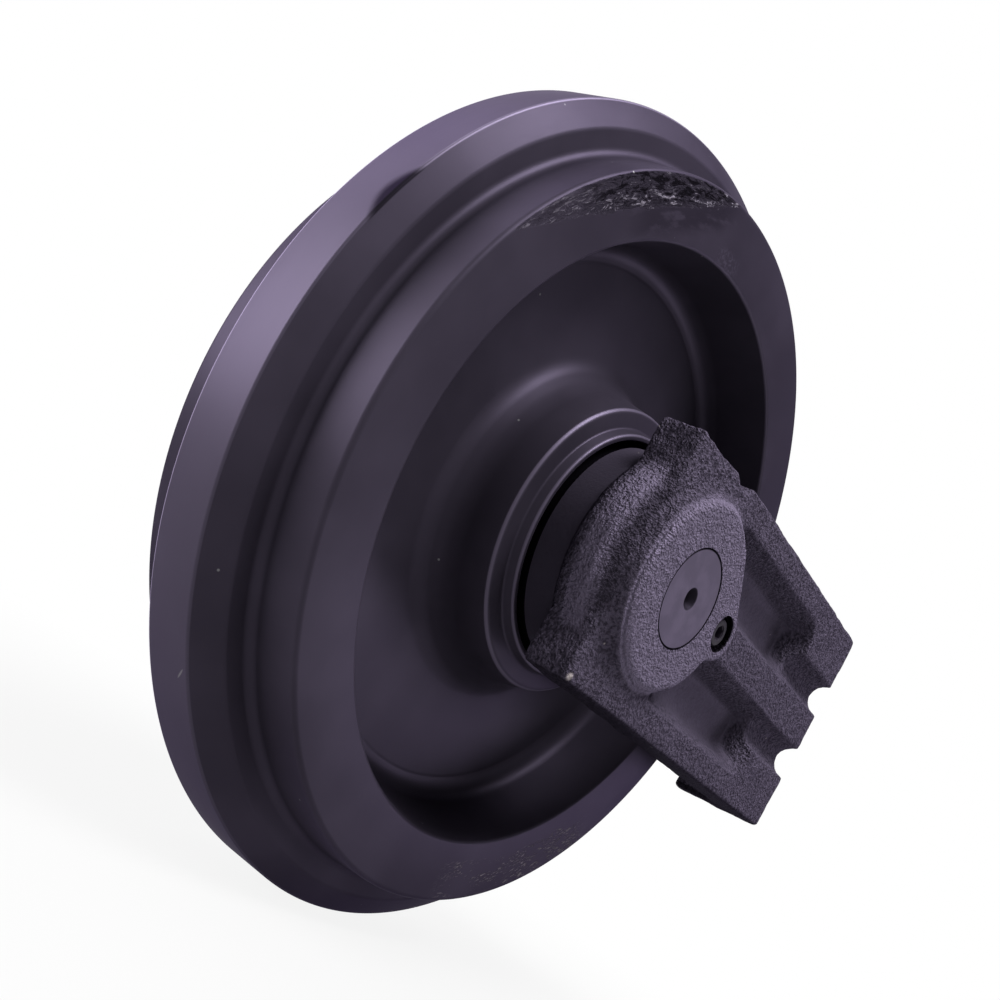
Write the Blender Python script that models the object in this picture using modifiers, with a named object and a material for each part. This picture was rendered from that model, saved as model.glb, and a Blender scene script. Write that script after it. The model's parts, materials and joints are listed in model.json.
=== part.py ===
"""Front idler of a small excavator: a cast wheel with a centre flange that turns on a fixed
shaft, held by two cast brackets that slide in the track frame and bolt to the recoil yoke.
Metres, Z up. The shaft lies along Y through the origin and both brackets run back along +X."""

import math

import bmesh
import bpy
from mathutils import Matrix, Vector

# Clearances
SEAT_GAP = 0.0003          # between two pieces that touch on the real idler
RUNNING_GAP = 0.00008      # shaft in its bushings, on the radius
LABYRINTH_GAP = 0.001      # end of the bracket collar over the floor of the wheel's seal mouth
OVERRUN = 0.003            # how far a cut runs past the face it opens

# Shaft
SHAFT_RADIUS = 0.0225
SHAFT_HALF_LENGTH = 0.0938
SHAFT_CHAMFER = 0.0008
CENTRE_RADIUS = 0.005      # lathe centre in the shaft end
CENTRE_DEPTH = 0.0065
CENTRE_PILOT_RADIUS = 0.0018
CENTRE_PILOT_DEPTH = 0.011
CENTRE_STEPS = 24
OIL_BORE_RADIUS = 0.0045
OIL_CROSS_RADIUS = 0.003
OIL_PLUG_RADIUS = 0.0062
OIL_PLUG_LENGTH = 0.010
OIL_PLUG_INSET = 0.001     # below the shaft's far end
OIL_PLUG_KEY = 0.006       # across the flats of the plug's socket
OIL_PLUG_KEY_DEPTH = 0.005
OIL_PLUG_ROOM = 0.001      # free bore behind the plug
O_RING_THICK = 0.0013      # radius of the ring's section
O_RING_GROOVE_HALF = 0.0018
O_RING_SHARE = 0.35        # its place between the seal seat and the lock pin

# Wheel
FLANGE_RADIUS = 0.192
FLANGE_TOP_HALF = 0.0118
FLANGE_BASE_HALF = 0.019
FLANGE_TAPER_START = 0.181
FLANGE_FILLET = 0.004
TREAD_RADIUS = 0.170       # at the foot of the flange
NEAR_TREAD_EDGE = 0.1687   # radius at the outer edge of each tread
FAR_TREAD_EDGE = 0.1706
NEAR_RIM = 0.042           # rim faces, from the middle plane of the flange
FAR_RIM = 0.047
RIM_CORNER = 0.0024
RIM_INNER_RADIUS = 0.140
RIM_LIP = 0.0012
RIM_ROOT_RADIUS = 0.133
WEB_HALF = 0.008
RIM_FILLET = 0.009
HUB_FILLET = 0.010
HUB_ROOT_RADIUS = 0.073
HUB_FACE_RADIUS = 0.0665
HUB_FACE_HALF = 0.0394
HUB_EDGE = 0.002
MOUTH_RING_RADIUS = 0.0575
MOUTH_RING_HEIGHT = 0.0055
MOUTH_RADIUS = 0.0545
MOUTH_DEPTH = 0.008
HUB_BORE_RADIUS = 0.026
OIL_ROOM_RADIUS = 0.029
OIL_ROOM_HALF = 0.009

# Bushings
BUSH_FLANGE_RADIUS = 0.031
BUSH_FLANGE_THICK = 0.003
BUSH_FLANGE_PLACE = 0.0245  # bearing face of the flange, from the middle
BUSH_INNER_END = 0.0115

# Floating seals
SEAL_BORE_RADIUS = 0.0375
SEAL_BORE_DEPTH = 0.0095
SEAL_RING_INNER = 0.0315
SEAL_RING_TAIL = 0.0335
SEAL_RING_LIP = 0.0365
SEAL_RING_LIP_THICK = 0.0028
SEAL_RING_LENGTH = 0.0088

# Brackets
PAD_PROUD = 0.0002         # pad over the shaft's end
PAD_LEVEL = SHAFT_HALF_LENGTH + PAD_PROUD
PAD_RADIUS = 0.0435
PAD_EDGE = 0.0012
PAD_HEIGHT = 0.0040
BLOCK_LEVEL = PAD_LEVEL - PAD_HEIGHT
BLOCK_THICK = 0.0273
BLOCK_INNER = BLOCK_LEVEL - BLOCK_THICK
BLOCK_FRONT = -0.043
BLOCK_REAR = 0.2067
BLOCK_HALF_HEIGHT = 0.0593
BLOCK_FRONT_LEVEL = BLOCK_LEVEL - 0.0045
FOLD_PLACE = -0.004        # where the front slope meets the flat outer side
BLOCK_EDGE = 0.0015        # trimmed edges of the plate
COLLAR_RADIUS = 0.0518     # turned part that runs in the wheel's mouth
SHOULDER_RADIUS = 0.0555   # cast part behind the turned collar
SHOULDER_START = BLOCK_INNER - 0.0012
SHOULDER_TOP = BLOCK_FRONT_LEVEL - 0.0020
SHOULDER_ROUND = 0.006
SCOOP_FRONT_HALF = 0.025   # hollow in front of the pad, between the two front corners
SCOOP_REAR_HALF = 0.0425
SCOOP_LEVEL = BLOCK_FRONT_LEVEL - 0.0090
SCOOP_DRAFT = 0.004
SCOOP_AHEAD = 0.020        # the cut starts this far in front of the bracket
NOSE_RADIUS = 0.030        # thrust nose inside the seals
LUG_RADIUS = 0.014
LUG_UPPER_JOIN = 41.0      # degrees round the pad where the ear's sides start
LUG_LOWER_JOIN = 31.0
LUG_ARC = 62.0
LUG_STEPS = 8
LUG_WAIST = 0.0022         # how far the ear's lower side curves in
TAIL_THICK = 0.012         # block at the rear end that reaches in behind the wheel
TAIL_INNER = BLOCK_INNER - 0.0227
TAIL_HALF_HEIGHT = 0.0615  # at its inner end, it is drafted from the plate's height
TAIL_CORNER = 0.0012
RIB_HALF = 0.0094          # middle rib between the two channels
RAIL_HEIGHT = 0.0143       # rail along the top and the bottom edge
CHANNEL_START = 0.018
CHANNEL_END = 0.151
CHANNEL_DEPTH = 0.0118     # at its start, the floor slopes down toward the rear
CHANNEL_END_DEPTH = 0.0172
CHANNEL_DRAFT = 0.0082     # how far each wall leans in from top to floor
CHANNEL_END_DRAFT = 0.0050
CHANNEL_CORNER = 0.006
CHANNEL_END_CORNER = 0.0135
BOLT_RADIUS = 0.0085       # half-round bolt grooves, open to the outside
BOLT_PLACE = 0.0195

# Lock screws and pins
SCREW_PLACE = 0.0427
SCREW_RADIUS = 0.004
SCREW_LENGTH = 0.019
SCREW_HEAD_RADIUS = 0.0065
SCREW_HEAD_HEIGHT = 0.008
SCREW_KEY = 0.006
SCREW_KEY_DEPTH = 0.004
COUNTERBORE_RADIUS = 0.009
COUNTERBORE_DEPTH = 0.010
SCREW_END_EDGE = 0.001
SCREW_HEAD_EDGE = 0.0006
SCREW_HOLE_ROOM = 0.003    # free hole below the screw's end
PIN_RADIUS = 0.004
PIN_PLACE = SHAFT_HALF_LENGTH - 0.0198
PIN_TOP_INSET = 0.002
PIN_BLIND_DEPTH = 0.010    # how far the pin reaches past the shaft

WHEEL_STEPS = 60
ROUND_STEPS = 44
RING_STEPS = 28
SMALL_STEPS = 24
HOLE_STEPS = 16


def clear_scene():
    for thing in list(bpy.data.objects):
        bpy.data.objects.remove(thing, do_unlink=True)
    for group in list(bpy.data.collections):
        bpy.data.collections.remove(group)


def new_collection(name, hidden=False):
    group = bpy.data.collections.new(name)
    bpy.context.scene.collection.children.link(group)
    group.hide_render = hidden
    return group


def paint(name, colour, roughness, metallic):
    material = bpy.data.materials.new(name)
    material.use_nodes = True
    shader = material.node_tree.nodes["Principled BSDF"]
    shader.inputs["Base Color"].default_value = (*colour, 1.0)
    shader.inputs["Roughness"].default_value = roughness
    shader.inputs["Metallic"].default_value = metallic
    material.diffuse_color = (*colour, 1.0)
    return material


def add_object(name, mesh, group):
    made = bpy.data.objects.new(name, mesh)
    group.objects.link(made)
    return made


def finish_mesh(shape, name):
    bmesh.ops.remove_doubles(shape, verts=shape.verts, dist=1e-7)
    bmesh.ops.recalc_face_normals(shape, faces=shape.faces)
    mesh = bpy.data.meshes.new(name)
    shape.to_mesh(mesh)
    shape.free()
    return mesh


def turned(name, profile, steps, group):
    """A closed profile of (radius, height) turned full circle about the object's own Z axis."""
    shape = bmesh.new()
    corners = [shape.verts.new((radius, 0.0, height)) for radius, height in profile]
    last = len(corners) - 1
    on_axis = profile[0][0] == 0.0 and profile[-1][0] == 0.0
    for index in range(last):
        shape.edges.new((corners[index], corners[index + 1]))
    if not on_axis:
        shape.edges.new((corners[last], corners[0]))
    mesh = bpy.data.meshes.new(name)
    shape.to_mesh(mesh)
    shape.free()
    made = add_object(name, mesh, group)
    screw = made.modifiers.new("Turn", "SCREW")
    screw.axis = "Z"
    screw.angle = math.tau
    screw.steps = steps
    screw.render_steps = steps
    screw.use_merge_vertices = True
    screw.merge_threshold = 0.00001
    return made


def lofted(name, sections, group, upright=False):
    """A solid through outlines of (x, z), each at its own distance out from the middle plane, which
    may depend on x. Upright ones are outlines of (x, distance out), each at its own height."""
    shape = bmesh.new()
    rings = []
    for outline, place in sections:
        if upright:
            rings.append([shape.verts.new((x, -out, place)) for x, out in outline])
        elif callable(place):
            rings.append([shape.verts.new((x, -place(x), z)) for x, z in outline])
        else:
            rings.append([shape.verts.new((x, -place, z)) for x, z in outline])
    shape.faces.new(rings[0])
    shape.faces.new(rings[-1])
    count = len(rings[0])
    for lower, upper in zip(rings, rings[1:]):
        for index in range(count):
            following = (index + 1) % count
            shape.faces.new((lower[index], lower[following], upper[following], upper[index]))
    return add_object(name, finish_mesh(shape, name), group)


def rounded_box(left, right, low, high, corner, right_corner=None, steps=3):
    """Outline of a rectangle with round corners, the same count of points for any size."""
    right_corner = corner if right_corner is None else right_corner
    points = []
    centres = (
        (right - right_corner, high - right_corner, right_corner, 0.0),
        (left + corner, high - corner, corner, 90.0),
        (left + corner, low + corner, corner, 180.0),
        (right - right_corner, low + right_corner, right_corner, 270.0),
    )
    for x, z, radius, start in centres:
        for step in range(steps + 1):
            angle = math.radians(start + 90.0 * step / steps)
            points.append((x + radius * math.cos(angle), z + radius * math.sin(angle)))
    return points


def bar(name, radius, start, end, steps, group):
    """A round bar between two points."""
    start, end = Vector(start), Vector(end)
    shape = bmesh.new()
    bmesh.ops.create_cone(
        shape,
        cap_ends=True,
        segments=steps,
        radius1=radius,
        radius2=radius,
        depth=(end - start).length,
    )
    turn = (end - start).to_track_quat("Z", "Y").to_matrix().to_4x4()
    bmesh.ops.transform(shape, matrix=Matrix.Translation((start + end) / 2) @ turn, verts=shape.verts)
    return add_object(name, finish_mesh(shape, name), group)


def hexagon(name, across, start, end, group):
    """A six-sided bar, sized across its flats."""
    return bar(name, across / 2 / math.cos(math.pi / 6), start, end, 6, group)


def combine(target, other, operation):
    change = target.modifiers.new(other.name, "BOOLEAN")
    change.operation = operation
    change.solver = "EXACT"
    change.object = other


def baked(source, name, group, flip=False):
    """A plain mesh copy of an object with its modifiers, mirrored through the middle plane if asked."""
    bpy.context.view_layer.update()
    graph = bpy.context.evaluated_depsgraph_get()
    evaluated = source.evaluated_get(graph)
    mesh = bpy.data.meshes.new_from_object(evaluated)
    shape = bmesh.new()
    shape.from_mesh(mesh)
    bmesh.ops.transform(shape, matrix=source.matrix_world, verts=shape.verts)
    if flip:
        bmesh.ops.scale(shape, vec=(1.0, -1.0, 1.0), verts=shape.verts)
        bmesh.ops.reverse_faces(shape, faces=shape.faces)
    bmesh.ops.remove_doubles(shape, verts=shape.verts, dist=1e-6)
    bmesh.ops.dissolve_degenerate(shape, edges=shape.edges, dist=1e-6)
    shape.to_mesh(mesh)
    shape.free()
    return add_object(name, mesh, group)


def smooth(thing, angle=32.0):
    for face in thing.data.polygons:
        face.use_smooth = True
    thing.data.set_sharp_from_angle(angle=math.radians(angle))


def stand_out(thing, side):
    """Turns an object's own +Z to point out from the middle plane; side -1 is the near side."""
    thing.rotation_euler = (-side * math.pi / 2, 0.0, 0.0)


def wheel_half(rim_face, tread_edge):
    """Half section of the wheel, (radius, distance out) from its middle plane, bore first."""
    mouth_floor = HUB_FACE_HALF + MOUTH_RING_HEIGHT - MOUTH_DEPTH
    seal_floor = mouth_floor - SEAL_BORE_DEPTH
    bush_seat_radius = BUSH_FLANGE_RADIUS + SEAT_GAP
    bore_edge = OIL_ROOM_HALF + (OIL_ROOM_RADIUS - HUB_BORE_RADIUS) * 0.6
    draft = (HUB_ROOT_RADIUS - HUB_FACE_RADIUS) * 0.55
    ring_top = HUB_FACE_HALF + MOUTH_RING_HEIGHT
    return [
        (OIL_ROOM_RADIUS, 0.0),
        (OIL_ROOM_RADIUS, OIL_ROOM_HALF),
        (HUB_BORE_RADIUS, bore_edge),
        (HUB_BORE_RADIUS, BUSH_FLANGE_PLACE),
        (bush_seat_radius, BUSH_FLANGE_PLACE),
        (bush_seat_radius, seal_floor),
        (SEAL_BORE_RADIUS, seal_floor),
        (SEAL_BORE_RADIUS, mouth_floor),
        (MOUTH_RADIUS, mouth_floor),
        (MOUTH_RADIUS, ring_top),
        (MOUTH_RING_RADIUS - 0.3 * MOUTH_RING_HEIGHT, ring_top),
        (MOUTH_RING_RADIUS, ring_top - 0.25 * MOUTH_RING_HEIGHT),
        (MOUTH_RING_RADIUS, HUB_FACE_HALF),
        (HUB_FACE_RADIUS - HUB_EDGE, HUB_FACE_HALF),
        (HUB_FACE_RADIUS, HUB_FACE_HALF - HUB_EDGE),
        (HUB_FACE_RADIUS + draft, WEB_HALF + HUB_FILLET),
        (HUB_ROOT_RADIUS + 0.2 * HUB_FILLET, WEB_HALF + 0.3 * HUB_FILLET),
        (HUB_ROOT_RADIUS + HUB_FILLET, WEB_HALF),
        (RIM_ROOT_RADIUS - RIM_FILLET, WEB_HALF),
        (RIM_ROOT_RADIUS - 0.3 * RIM_FILLET, WEB_HALF + 0.3 * RIM_FILLET),
        (RIM_ROOT_RADIUS, WEB_HALF + RIM_FILLET),
        (RIM_INNER_RADIUS - 0.5 * RIM_LIP, rim_face - 1.3 * RIM_LIP),
        (RIM_INNER_RADIUS + RIM_LIP, rim_face),
        (tread_edge - RIM_CORNER, rim_face),
        (tread_edge, rim_face - RIM_CORNER),
        (TREAD_RADIUS, FLANGE_BASE_HALF + FLANGE_FILLET),
        (TREAD_RADIUS + 0.3 * FLANGE_FILLET, FLANGE_BASE_HALF + 0.3 * FLANGE_FILLET),
        (TREAD_RADIUS + FLANGE_FILLET, FLANGE_BASE_HALF),
        (FLANGE_TAPER_START, FLANGE_BASE_HALF),
        (FLANGE_RADIUS - 0.0008, FLANGE_TOP_HALF + 0.0006),
        (FLANGE_RADIUS, FLANGE_TOP_HALF),
    ]


def wheel_profile():
    """Section of the wheel all round, near side first."""
    far_half = wheel_half(FAR_RIM, FAR_TREAD_EDGE)
    far_side = [(radius, -out) for radius, out in reversed(far_half) if out > 0.0]
    return wheel_half(NEAR_RIM, NEAR_TREAD_EDGE) + far_side


def make_wheel(group):
    wheel = turned("idler_wheel", wheel_profile(), WHEEL_STEPS, group)
    stand_out(wheel, -1)
    return wheel


def make_bush(name, side, group):
    seat = BUSH_FLANGE_PLACE + SEAT_GAP
    inner = SHAFT_RADIUS + RUNNING_GAP
    outer = HUB_BORE_RADIUS - SEAT_GAP
    profile = [
        (inner, BUSH_INNER_END),
        (inner, seat + BUSH_FLANGE_THICK),
        (BUSH_FLANGE_RADIUS, seat + BUSH_FLANGE_THICK),
        (BUSH_FLANGE_RADIUS, seat),
        (outer, seat),
        (outer, BUSH_INNER_END),
    ]
    bush = turned(name, profile, ROUND_STEPS, group)
    stand_out(bush, side)
    return bush


def collar_end():
    """End of the bracket's turned collar, from the middle plane."""
    return HUB_FACE_HALF + MOUTH_RING_HEIGHT - MOUTH_DEPTH + LABYRINTH_GAP


def seal_face():
    """Plane where the two metal rings of one seal meet, from the middle plane."""
    return collar_end() - LABYRINTH_GAP / 2


def make_seal_ring(name, side, way, group):
    """One metal ring; way -1 sits in the wheel, +1 in the bracket."""
    face = seal_face() + way * SEAT_GAP / 2
    lip = face + way * SEAL_RING_LIP_THICK
    ramp = lip + way * (SEAL_RING_LIP - SEAL_RING_TAIL) * 0.4
    tail = face + way * SEAL_RING_LENGTH
    profile = [
        (SEAL_RING_INNER, face),
        (SEAL_RING_LIP, face),
        (SEAL_RING_LIP, lip),
        (SEAL_RING_TAIL, ramp),
        (SEAL_RING_TAIL, tail),
        (SEAL_RING_INNER, tail),
    ]
    if way > 0:
        profile.reverse()
    ring = turned(name, profile, RING_STEPS, group)
    stand_out(ring, side)
    return ring


def make_ring(name, side, centre_radius, section, place, group):
    """A rubber ring of round section."""
    corners = 6
    profile = []
    for index in range(corners):
        angle = -math.tau * (index + 0.5) / corners
        profile.append((centre_radius + section * math.cos(angle), place + section * math.sin(angle)))
    ring = turned(name, profile, RING_STEPS, group)
    stand_out(ring, side)
    return ring


def make_seal(side, word, group):
    made = []
    rubber = (SEAL_BORE_RADIUS - SEAL_RING_TAIL) / 2 - SEAT_GAP
    middle = (SEAL_BORE_RADIUS + SEAL_RING_TAIL) / 2
    for way, owner in ((-1, "wheel"), (1, "bracket")):
        tail_middle = seal_face() + way * (SEAL_RING_LIP_THICK + SEAL_RING_LENGTH) * 0.55
        made.append(make_seal_ring("seal_ring_%s_%s" % (owner, word), side, way, group))
        made.append(make_ring("seal_rubber_%s_%s" % (owner, word), side, middle, rubber, tail_middle, group))
    return made


def o_ring_place():
    """Middle of the O-ring groove, from the middle plane: between the seal seat and the lock pin."""
    seat = collar_end() + SEAL_BORE_DEPTH
    return seat + O_RING_SHARE * (PIN_PLACE - seat)


def make_shaft(group, cutters):
    groove = SHAFT_RADIUS - 2 * O_RING_THICK - SEAT_GAP
    place = o_ring_place()
    half = [
        (0.0, SHAFT_HALF_LENGTH),
        (SHAFT_RADIUS - SHAFT_CHAMFER, SHAFT_HALF_LENGTH),
        (SHAFT_RADIUS, SHAFT_HALF_LENGTH - SHAFT_CHAMFER),
        (SHAFT_RADIUS, place + O_RING_GROOVE_HALF),
        (groove, place + O_RING_GROOVE_HALF),
        (groove, place - O_RING_GROOVE_HALF),
        (SHAFT_RADIUS, place - O_RING_GROOVE_HALF),
    ]
    profile = half + [(radius, -out) for radius, out in reversed(half)]
    shaft = turned("shaft", profile, ROUND_STEPS, group)
    stand_out(shaft, -1)
    end = SHAFT_HALF_LENGTH
    widening = (CENTRE_RADIUS - CENTRE_PILOT_RADIUS) / CENTRE_DEPTH
    centre = turned(
        "centre_cut",
        [
            (0.0, end + OVERRUN),
            (CENTRE_RADIUS + OVERRUN * widening, end + OVERRUN),
            (CENTRE_PILOT_RADIUS, end - CENTRE_DEPTH),
            (CENTRE_PILOT_RADIUS, end - CENTRE_PILOT_DEPTH),
            (0.0, end - CENTRE_PILOT_DEPTH),
        ],
        CENTRE_STEPS,
        cutters,
    )
    stand_out(centre, -1)
    plug_seat = end - OIL_PLUG_INSET - OIL_PLUG_LENGTH - OIL_PLUG_ROOM
    bore_end = plug_seat + OIL_PLUG_ROOM / 2
    oil_bore = bar("oil_bore_cut", OIL_BORE_RADIUS, (0, 0, 0), (0, bore_end, 0), HOLE_STEPS, cutters)
    plug_bore = bar(
        "plug_bore_cut",
        OIL_PLUG_RADIUS + SEAT_GAP,
        (0, plug_seat, 0),
        (0, end + OVERRUN, 0),
        SMALL_STEPS,
        cutters,
    )
    reach = SHAFT_RADIUS + OVERRUN
    cross = bar("oil_cross_cut", OIL_CROSS_RADIUS, (0, 0, -reach), (0, 0, reach), HOLE_STEPS, cutters)
    for cutter in (centre, oil_bore, plug_bore, cross):
        combine(shaft, cutter, "DIFFERENCE")
    for side in (-1, 1):
        pin_cut = bar(
            "shaft_pin_cut_%s" % ("near" if side < 0 else "far"),
            PIN_RADIUS + SEAT_GAP,
            (0, side * PIN_PLACE, -reach),
            (0, side * PIN_PLACE, reach),
            HOLE_STEPS,
            cutters,
        )
        combine(shaft, pin_cut, "DIFFERENCE")
    return shaft


def make_oil_plug(group, cutters):
    outer = SHAFT_HALF_LENGTH - OIL_PLUG_INSET
    inner = outer - OIL_PLUG_LENGTH
    plug = bar("oil_plug", OIL_PLUG_RADIUS, (0, inner, 0), (0, outer, 0), SMALL_STEPS, group)
    key_floor = outer - OIL_PLUG_KEY_DEPTH
    key = hexagon("plug_key_cut", OIL_PLUG_KEY, (0, key_floor, 0), (0, outer + OVERRUN, 0), cutters)
    combine(plug, key, "DIFFERENCE")
    return plug


def lug_outline(grow):
    """Ear of the pad round the lock screw, from the pad's circle out and back."""
    pad = PAD_RADIUS + grow
    radius = LUG_RADIUS + grow
    lower, upper = math.radians(LUG_LOWER_JOIN), math.radians(LUG_UPPER_JOIN)
    arc = math.radians(LUG_ARC)
    start = (pad * math.cos(lower), -pad * math.sin(lower))
    foot = (SCREW_PLACE + radius * math.cos(arc), -radius * math.sin(arc))
    waist = ((start[0] + foot[0]) / 2 - LUG_WAIST, (start[1] + foot[1]) / 2 + LUG_WAIST)
    points = [(0.5 * PAD_RADIUS, -0.4 * PAD_RADIUS), start, waist]
    for step in range(LUG_STEPS + 1):
        angle = -arc + 2 * arc * step / LUG_STEPS
        points.append((SCREW_PLACE + radius * math.cos(angle), radius * math.sin(angle)))
    points.append((pad * math.cos(upper), pad * math.sin(upper)))
    points.append((0.5 * PAD_RADIUS, 0.4 * PAD_RADIUS))
    return points


def boss_profile():
    """Section of the round boss, (radius, out) from the axis, outer side running top to bottom."""
    nose_end = BUSH_FLANGE_PLACE + BUSH_FLANGE_THICK + 2 * SEAT_GAP
    collar_face = collar_end()
    seal_floor = collar_face + SEAL_BORE_DEPTH
    return [
        (0.0, PAD_LEVEL),
        (PAD_RADIUS - PAD_EDGE, PAD_LEVEL),
        (PAD_RADIUS, PAD_LEVEL - PAD_EDGE),
        (PAD_RADIUS, BLOCK_FRONT_LEVEL),
        (PAD_RADIUS + 0.4 * (SHOULDER_RADIUS - PAD_RADIUS), SHOULDER_TOP),
        (SHOULDER_RADIUS - 0.3 * SHOULDER_ROUND, SHOULDER_TOP - 0.4 * SHOULDER_ROUND),
        (SHOULDER_RADIUS, SHOULDER_TOP - SHOULDER_ROUND),
        (SHOULDER_RADIUS, SHOULDER_START + SHOULDER_RADIUS - COLLAR_RADIUS),
        (COLLAR_RADIUS, SHOULDER_START),
        (COLLAR_RADIUS, collar_face),
        (SEAL_BORE_RADIUS, collar_face),
        (SEAL_BORE_RADIUS, seal_floor),
        (NOSE_RADIUS, seal_floor),
        (NOSE_RADIUS, nose_end),
        (0.0, nose_end),
    ]


def channel_cutters(up, cutters):
    """The drafted channel with its sloping floor and the bolt groove, on the upper (1) or lower (-1) half."""
    word = "upper" if up > 0 else "lower"
    low = RIB_HALF
    high = BLOCK_HALF_HEIGHT - RAIL_HEIGHT
    lift = 0.25

    def ring(lean, corner, end_corner):
        """Outline that leans in by a share of the full draft."""
        left = CHANNEL_START + lean * CHANNEL_DRAFT
        right = CHANNEL_END - lean * CHANNEL_END_DRAFT
        draft = lean * CHANNEL_DRAFT
        outline = rounded_box(left, right, low + draft, high - draft, corner, end_corner)
        return [(x, up * z) for x, z in outline]

    def floor_level(x):
        share = (x - CHANNEL_START) / (CHANNEL_END - CHANNEL_START)
        return BLOCK_LEVEL - CHANNEL_DEPTH - share * (CHANNEL_END_DEPTH - CHANNEL_DEPTH)

    channel = lofted(
        "channel_cut_" + word,
        [
            (ring(1.0, 0.5 * CHANNEL_CORNER, 0.6 * CHANNEL_END_CORNER), floor_level),
            (ring(0.0, CHANNEL_CORNER, CHANNEL_END_CORNER), BLOCK_LEVEL),
            (ring(-lift, 1.2 * CHANNEL_CORNER, 1.1 * CHANNEL_END_CORNER), BLOCK_LEVEL + lift * CHANNEL_DEPTH),
        ],
        cutters,
    )
    groove = bar(
        "bolt_groove_cut_" + word,
        BOLT_RADIUS,
        (CHANNEL_END - CHANNEL_END_CORNER, -BLOCK_LEVEL, up * BOLT_PLACE),
        (BLOCK_REAR + OVERRUN, -BLOCK_LEVEL, up * BOLT_PLACE),
        SMALL_STEPS,
        cutters,
    )
    return channel, groove


def block_outline(inset):
    """The plate of the bracket seen from above, as (x, distance out)."""
    return [
        (BLOCK_FRONT + inset, BLOCK_INNER + inset),
        (BLOCK_FRONT + inset, BLOCK_FRONT_LEVEL - inset),
        (FOLD_PLACE, BLOCK_LEVEL - inset),
        (BLOCK_REAR - inset, BLOCK_LEVEL - inset),
        (BLOCK_REAR - inset, BLOCK_INNER + inset),
    ]


def make_tail(cutters):
    """The inward block at the bracket's rear end, rooted a little way into the plate."""
    root = 0.2 * BLOCK_INNER + 0.8 * BLOCK_LEVEL
    sections = []
    for half_height, inset, out in (
        (TAIL_HALF_HEIGHT - TAIL_CORNER, TAIL_CORNER, TAIL_INNER),
        (TAIL_HALF_HEIGHT, 0.0, TAIL_INNER + TAIL_CORNER),
        (BLOCK_HALF_HEIGHT, 0.0, root),
    ):
        front = BLOCK_REAR - TAIL_THICK + inset
        rear = BLOCK_REAR - inset
        sections.append((rounded_box(front, rear, -half_height, half_height, TAIL_CORNER), out))
    return lofted("bracket_tail", sections, cutters)


def upright_block(name, outline, half_height, group):
    """A block with trimmed upper and lower edges, from an outline that takes an inset."""
    full, trimmed = outline(0.0), outline(BLOCK_EDGE)
    sections = [
        (trimmed, -half_height),
        (full, BLOCK_EDGE - half_height),
        (full, half_height - BLOCK_EDGE),
        (trimmed, half_height),
    ]
    return lofted(name, sections, group, upright=True)


def scoop_cutter(cutters):
    """The hollow in front of the pad, wider toward the pad and leaning in with depth."""

    def outline(lean):
        slope = (SCOOP_REAR_HALF - SCOOP_FRONT_HALF) / (FOLD_PLACE - BLOCK_FRONT)
        ahead = BLOCK_FRONT - SCOOP_AHEAD
        front_half = SCOOP_FRONT_HALF - SCOOP_AHEAD * slope - lean
        rear_half = SCOOP_REAR_HALF - lean
        return [
            (ahead, -front_half),
            (FOLD_PLACE, -rear_half),
            (FOLD_PLACE, rear_half),
            (ahead, front_half),
        ]

    over = SCOOP_DRAFT / 4
    return lofted(
        "scoop_cut",
        [
            (outline(SCOOP_DRAFT), SCOOP_LEVEL),
            (outline(0.0), BLOCK_FRONT_LEVEL),
            (outline(-over), BLOCK_LEVEL + over),
        ],
        cutters,
    )


def make_bracket(cutters):
    """The near bracket with all its cuts, as a helper that both real ones are made from."""
    body = upright_block("bracket_form", block_outline, BLOCK_HALF_HEIGHT, cutters)
    tail = make_tail(cutters)
    boss = turned("bracket_boss", boss_profile(), ROUND_STEPS, cutters)
    stand_out(boss, -1)
    lug = lofted(
        "bracket_lug",
        [
            (lug_outline(0.0), BLOCK_INNER + 0.2 * BLOCK_THICK),
            (lug_outline(0.0), PAD_LEVEL - PAD_EDGE),
            (lug_outline(-PAD_EDGE), PAD_LEVEL),
        ],
        cutters,
    )
    combine(body, tail, "UNION")
    combine(body, scoop_cutter(cutters), "DIFFERENCE")
    for up in (1, -1):
        for cutter in channel_cutters(up, cutters):
            combine(body, cutter, "DIFFERENCE")
    combine(body, boss, "UNION")
    combine(body, lug, "UNION")

    bore = bar(
        "bore_cut",
        SHAFT_RADIUS + SEAT_GAP,
        (0, -BUSH_FLANGE_PLACE, 0),
        (0, -PAD_LEVEL - OVERRUN, 0),
        ROUND_STEPS,
        cutters,
    )
    counterbore = bar(
        "counterbore_cut",
        COUNTERBORE_RADIUS,
        (SCREW_PLACE, -PAD_LEVEL + COUNTERBORE_DEPTH, 0),
        (SCREW_PLACE, -PAD_LEVEL - OVERRUN, 0),
        SMALL_STEPS,
        cutters,
    )
    screw_end = PAD_LEVEL - COUNTERBORE_DEPTH - SCREW_LENGTH
    screw_hole = bar(
        "screw_hole_cut",
        SCREW_RADIUS + SEAT_GAP,
        (SCREW_PLACE, -screw_end + SCREW_HOLE_ROOM, 0),
        (SCREW_PLACE, -PAD_LEVEL + COUNTERBORE_DEPTH / 2, 0),
        HOLE_STEPS,
        cutters,
    )
    pin_hole = bar(
        "pin_hole_cut",
        PIN_RADIUS + SEAT_GAP,
        (0, -PIN_PLACE, -SHAFT_RADIUS - PIN_BLIND_DEPTH - 2 * SEAT_GAP),
        (0, -PIN_PLACE, BLOCK_HALF_HEIGHT + OVERRUN),
        HOLE_STEPS,
        cutters,
    )
    for cutter in (bore, counterbore, screw_hole, pin_hole):
        combine(body, cutter, "DIFFERENCE")
    return body


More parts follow.
